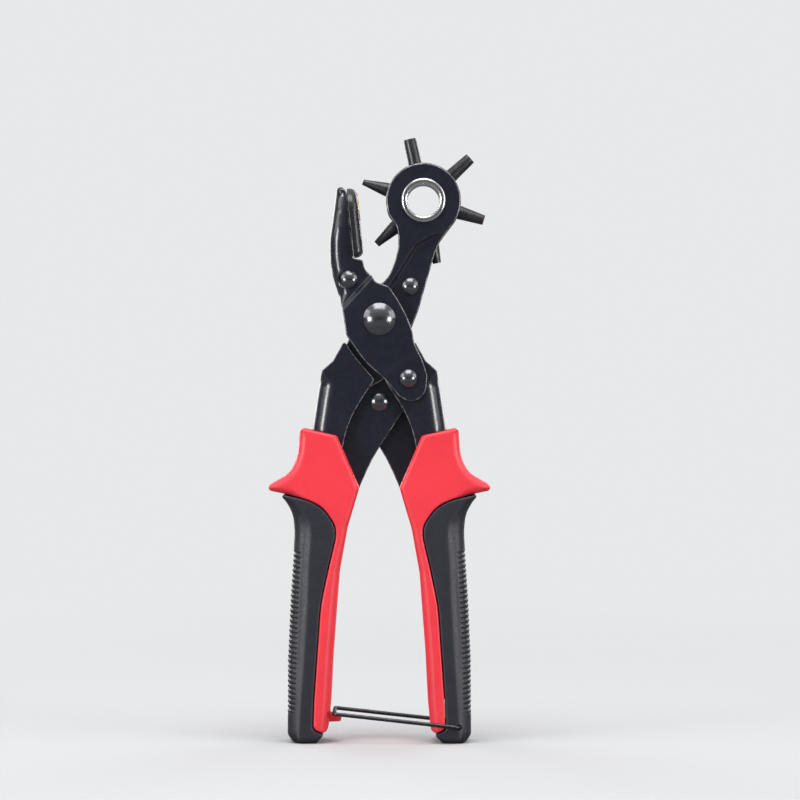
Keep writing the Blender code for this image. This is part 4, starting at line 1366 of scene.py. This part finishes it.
def ribbed_outline(side):
    """The black grip's outline with a point for each row of the ribs."""
    outline = rounded(side_of(BLACK_GRIP, side))
    result = []
    for start, end in zip(outline, outline[1:] + outline[:1]):
        result.append(start)
        low, high = min(start[1], end[1]), max(start[1], end[1])
        if min(abs(start[0]), abs(end[0])) < RIB_FROM:
            continue
        inner = [z for z in np.arange(RIB_BOTTOM - 0.5, RIB_TOP + 0.8, RIB_PITCH / 8)
                 if low + 0.05 < z < high - 0.05]
        if start[1] > end[1]:
            inner = inner[::-1]
        for z in inner:
            share = (z - start[1]) / (end[1] - start[1])
            result.append((start[0] + (end[0] - start[0]) * share, z))
    return np.array(result)


def hollow_cutters(side):
    """The space that a handle's channel and lever take inside its grip."""
    reach = MIDDLE[1] + 0.3
    slot = LEVER[1] + 0.3
    return (prism("hollow", side_of(GRIP_HOLLOW, side), -reach, reach),
            prism("lever_slot", side_of(LEVER_SLOT, side), -slot, slot))


def red_grip(word, side):
    """The red body of a grip."""
    line = rounded(FINGER_LINE, closed=False)
    lines = [flipped(row, side) for row in beside(line, (0.8, 1.2, 1.6, 2.0, 2.4, 2.8, 3.3), 1.2)]
    shell = slab(f"{word}_red_look", side_of(RED_GRIP, side), lambda p: -red_half(p, side),
                 lambda p: red_half(p, side), (), lambda places: red_edge(places, side), lines,
                 2.2)
    if side < 0:
        ledge = slab("ledge", HOOK_LEDGE, -4.0, 4.0, (), 0.5, (), 2.0)
        join(shell, ledge)
    carve(shell, *hollow_cutters(side))
    finish_piece(shell, f"{word}_handle", "red_plastic", f"{word}_grip_red", sharp=35)


def black_part(word, side):
    """The black palm side of a grip, ribbed outside."""
    def groove(flat):
        place = flipped(flat, side)
        shift = RIB_DEPTH * rib_mask(place) * rib_wave(place[:, 1])
        shift *= smooth((place[:, 0] - blend_table(*PALM_TABLE, place[:, 1]) + 1.4) / 1.0)
        return np.stack(((place[:, 0] - shift) * side, place[:, 1]), axis=1)

    shell = slab(f"{word}_black_look", ribbed_outline(side), lambda p: -black_half(p, side),
                 lambda p: black_half(p, side), (), lambda places: black_edge(places, side),
                 rib_rows(side) + crease_rows(side), 2.0, None, groove)
    cutters = list(hollow_cutters(side))
    if side > 0:
        x, z = axis_of("latch_bail_hinge")
        for low in (-GRIP_HALF - 2, 7.0):
            hole = [(BAIL_HOLE, low), (BAIL_HOLE, low + 6.0)]
            profile = [(0.0, low)] + hole + [(0.0, low + 6.0)]
            cutters.append(lathe("bail_hole", profile, along_y((x, z)), 32))
    carve(shell, *cutters)
    finish_piece(shell, f"{word}_handle", "black_grip", f"{word}_grip_black", sharp=40)


def handle(side):
    """One handle: channel, lever, two-part grip and hidden rivets."""
    word = "right" if side > 0 else "left"
    handle_channel(word, side)
    lever(word, side)
    red_grip(word, side)
    black_part(word, side)
    pin_piece(f"{word}_lever_rivet_upper", f"{word}_handle")
    pin_piece(f"{word}_lever_rivet_lower", f"{word}_handle")
    if side < 0:
        domed_rivet("lever_crossing_pin", "left_handle", LEVER_CROSSING, CROSSING_PIN, 3.6, 1.3,
                    LEVER[1] + 0.2)


# ---------------------------------------------------------------- latch bail

WIRE_RADIUS = 0.75
BAIL_HOOK = (-17.1, -148.8)
BAIL_LEG_Y = GRIP_HALF + 0.45 + WIRE_RADIUS
BAIL_INNER_Y = 7.4


def latch_bail():
    """Wire bail, one piece of wire bent around the grips."""
    x, z = axis_of("latch_bail_hinge")
    pivot, hook = Vector((x, 0, z)), Vector((BAIL_HOOK[0], 0, BAIL_HOOK[1]))
    half = [pivot + Vector((0, BAIL_INNER_Y, 0)), pivot + Vector((0, BAIL_LEG_Y, 0)),
            hook + Vector((0, BAIL_LEG_Y, 0))]
    corners = half + [Vector((p.x, -p.y, p.z)) for p in reversed(half)]
    wire_piece("latch_bail", "latch_bail", bent_path(corners, 1.8), WIRE_RADIUS, "spring_steel")


# ---------------------------------------------------------------- studio

BACKDROP = (0.80, 0.81, 0.82)
FLOOR_COLOUR = (0.46, 0.464, 0.472)
FLOOR_REACH = 6.0
FLOOR_NEAR, FLOOR_FAR = 0.25, 1.0
ROOM_LOW, ROOM_HIGH = 0.05, 1.0
ROOM_LIGHT_FROM, ROOM_LIGHT_TO = 0.1, 0.9
ROOM_FLOOR = (0.16, 0.16, 0.165)


def node_of(tree, kind, **values):
    """A shader node with some of its inputs set."""
    node = tree.nodes.new(kind)
    for socket, value in values.items():
        node.inputs[socket.replace("_", " ")].default_value = value
    return node


def floor_material():
    """Pale near the tool, and fading into the backdrop further out."""
    finish = Finish("floor_look", FLOOR_COLOUR, 0.6)
    finish.tint(finish.noise(0.004, 2), FLOOR_COLOUR, tuple(part * 0.98 for part in FLOOR_COLOUR))
    finish.set("Specular IOR Level", 0.0)
    tree = finish.tree
    place = tree.nodes.new("ShaderNodeNewGeometry")
    distance = tree.nodes.new("ShaderNodeVectorMath")
    distance.operation = "LENGTH"
    finish.link(place.outputs["Position"], distance.inputs[0])
    share = node_of(tree, "ShaderNodeMapRange", From_Min=FLOOR_NEAR, From_Max=FLOOR_FAR)
    share.interpolation_type = "SMOOTHERSTEP"
    finish.link(distance.outputs["Value"], share.inputs["Value"])
    far = node_of(tree, "ShaderNodeEmission", Color=(*BACKDROP, 1.0), Strength=1.0)
    seen = tree.nodes.new("ShaderNodeMixShader")
    finish.link(share.outputs["Result"], seen.inputs[0])
    finish.link(finish.shader.outputs[0], seen.inputs[1])
    finish.link(far.outputs[0], seen.inputs[2])
    dark = node_of(tree, "ShaderNodeBsdfDiffuse", Color=(*ROOM_FLOOR, 1.0))
    rays = tree.nodes.new("ShaderNodeLightPath")
    final = tree.nodes.new("ShaderNodeMixShader")
    finish.link(rays.outputs["Is Camera Ray"], final.inputs[0])
    finish.link(dark.outputs[0], final.inputs[1])
    finish.link(seen.outputs[0], final.inputs[2])
    finish.link(final.outputs[0], tree.nodes["Material Output"].inputs["Surface"])
    return finish.material


def studio_floor():
    """Pale floor that the tool stands on."""
    mesh = bpy.data.meshes.new("floor")
    z = CAD_BOX[0].z
    mesh.from_pydata([(-FLOOR_REACH, -FLOOR_REACH, z), (FLOOR_REACH, -FLOOR_REACH, z),
                      (FLOOR_REACH, FLOOR_REACH, z), (-FLOOR_REACH, FLOOR_REACH, z)],
                     [], [(0, 1, 2, 3)])
    floor = bpy.data.objects.new("floor", mesh)
    bpy.context.scene.collection.objects.link(floor)
    mesh.materials.append(floor_material())


def studio_world():
    """The backdrop that the camera sees, around a dim room with a bright ceiling."""
    world_look = bpy.data.worlds.new("studio")
    bpy.context.scene.world = world_look
    world_look.use_nodes = True
    tree = world_look.node_tree
    room = tree.nodes["Background"]
    coords = tree.nodes.new("ShaderNodeTexCoord")
    split = tree.nodes.new("ShaderNodeSeparateXYZ")
    tree.links.new(coords.outputs["Generated"], split.inputs[0])
    level = node_of(tree, "ShaderNodeMapRange", From_Min=ROOM_LIGHT_FROM,
                    From_Max=ROOM_LIGHT_TO, To_Min=ROOM_LOW, To_Max=ROOM_HIGH)
    tree.links.new(split.outputs["Z"], level.inputs["Value"])
    tree.links.new(level.outputs["Result"], room.inputs["Strength"])
    room.inputs["Color"].default_value = (0.97, 0.98, 1.0, 1.0)
    backdrop = node_of(tree, "ShaderNodeBackground", Color=(*BACKDROP, 1.0), Strength=1.0)
    rays = tree.nodes.new("ShaderNodeLightPath")
    mix = tree.nodes.new("ShaderNodeMixShader")
    tree.links.new(rays.outputs["Is Camera Ray"], mix.inputs[0])
    tree.links.new(room.outputs[0], mix.inputs[1])
    tree.links.new(backdrop.outputs[0], mix.inputs[2])
    tree.links.new(mix.outputs[0], tree.nodes["World Output"].inputs["Surface"])


def studio_light(name, place, size, power, target=(0.0, 0.0, -0.04)):
    """A soft rectangular lamp that points at the tool."""
    lamp = bpy.data.lights.new(name, "AREA")
    lamp.shape = "RECTANGLE"
    lamp.size, lamp.size_y = size
    lamp.energy = power
    obj = bpy.data.objects.new(name, lamp)
    obj.location = PIVOT + Vector(place)
    obj.visible_camera = False
    aim = Vector(target) - Vector(place)
    obj.rotation_mode = "QUATERNION"
    obj.rotation_quaternion = aim.to_track_quat("-Z", "Y")
    bpy.context.scene.collection.objects.link(obj)


def studio():
    """World, lamps and camera."""
    bpy.context.scene.view_settings.view_transform = "Standard"
    studio_world()
    studio_light("key_left", (-0.95, -0.85, 0.02), (0.34, 0.34), 7.5)
    studio_light("key_right", (0.95, -0.85, 0.0), (0.34, 0.34), 6.8)
    studio_light("fill_left", (-1.1, -0.45, 0.5), (0.7, 0.7), 4.5)
    studio_light("fill_right", (1.1, -0.45, 0.45), (0.7, 0.7), 4.0)
    studio_light("top", (0.0, -0.4, 1.05), (0.9, 0.7), 11)
    studio_light("back_left", (-0.75, 1.05, 0.35), (0.8, 0.8), 8)
    studio_light("back_right", (0.75, 1.05, 0.3), (0.8, 0.8), 7)
    camera = bpy.data.cameras.new("camera")
    camera.lens = 142.0
    camera.sensor_width = 36.0
    camera.clip_end = 50.0
    eye = bpy.data.objects.new("camera", camera)
    eye.location = PIVOT + Vector((0.0078, -1.2, -0.0306))
    eye.rotation_euler = (math.radians(90), 0, 0)
    bpy.context.scene.collection.objects.link(eye)
    bpy.context.scene.camera = eye


main_pivot()
anvil_jaw()
wheel_jaw()
punch_wheel()
handle(-1)
handle(1)
latch_bail()
studio_floor()
studio()
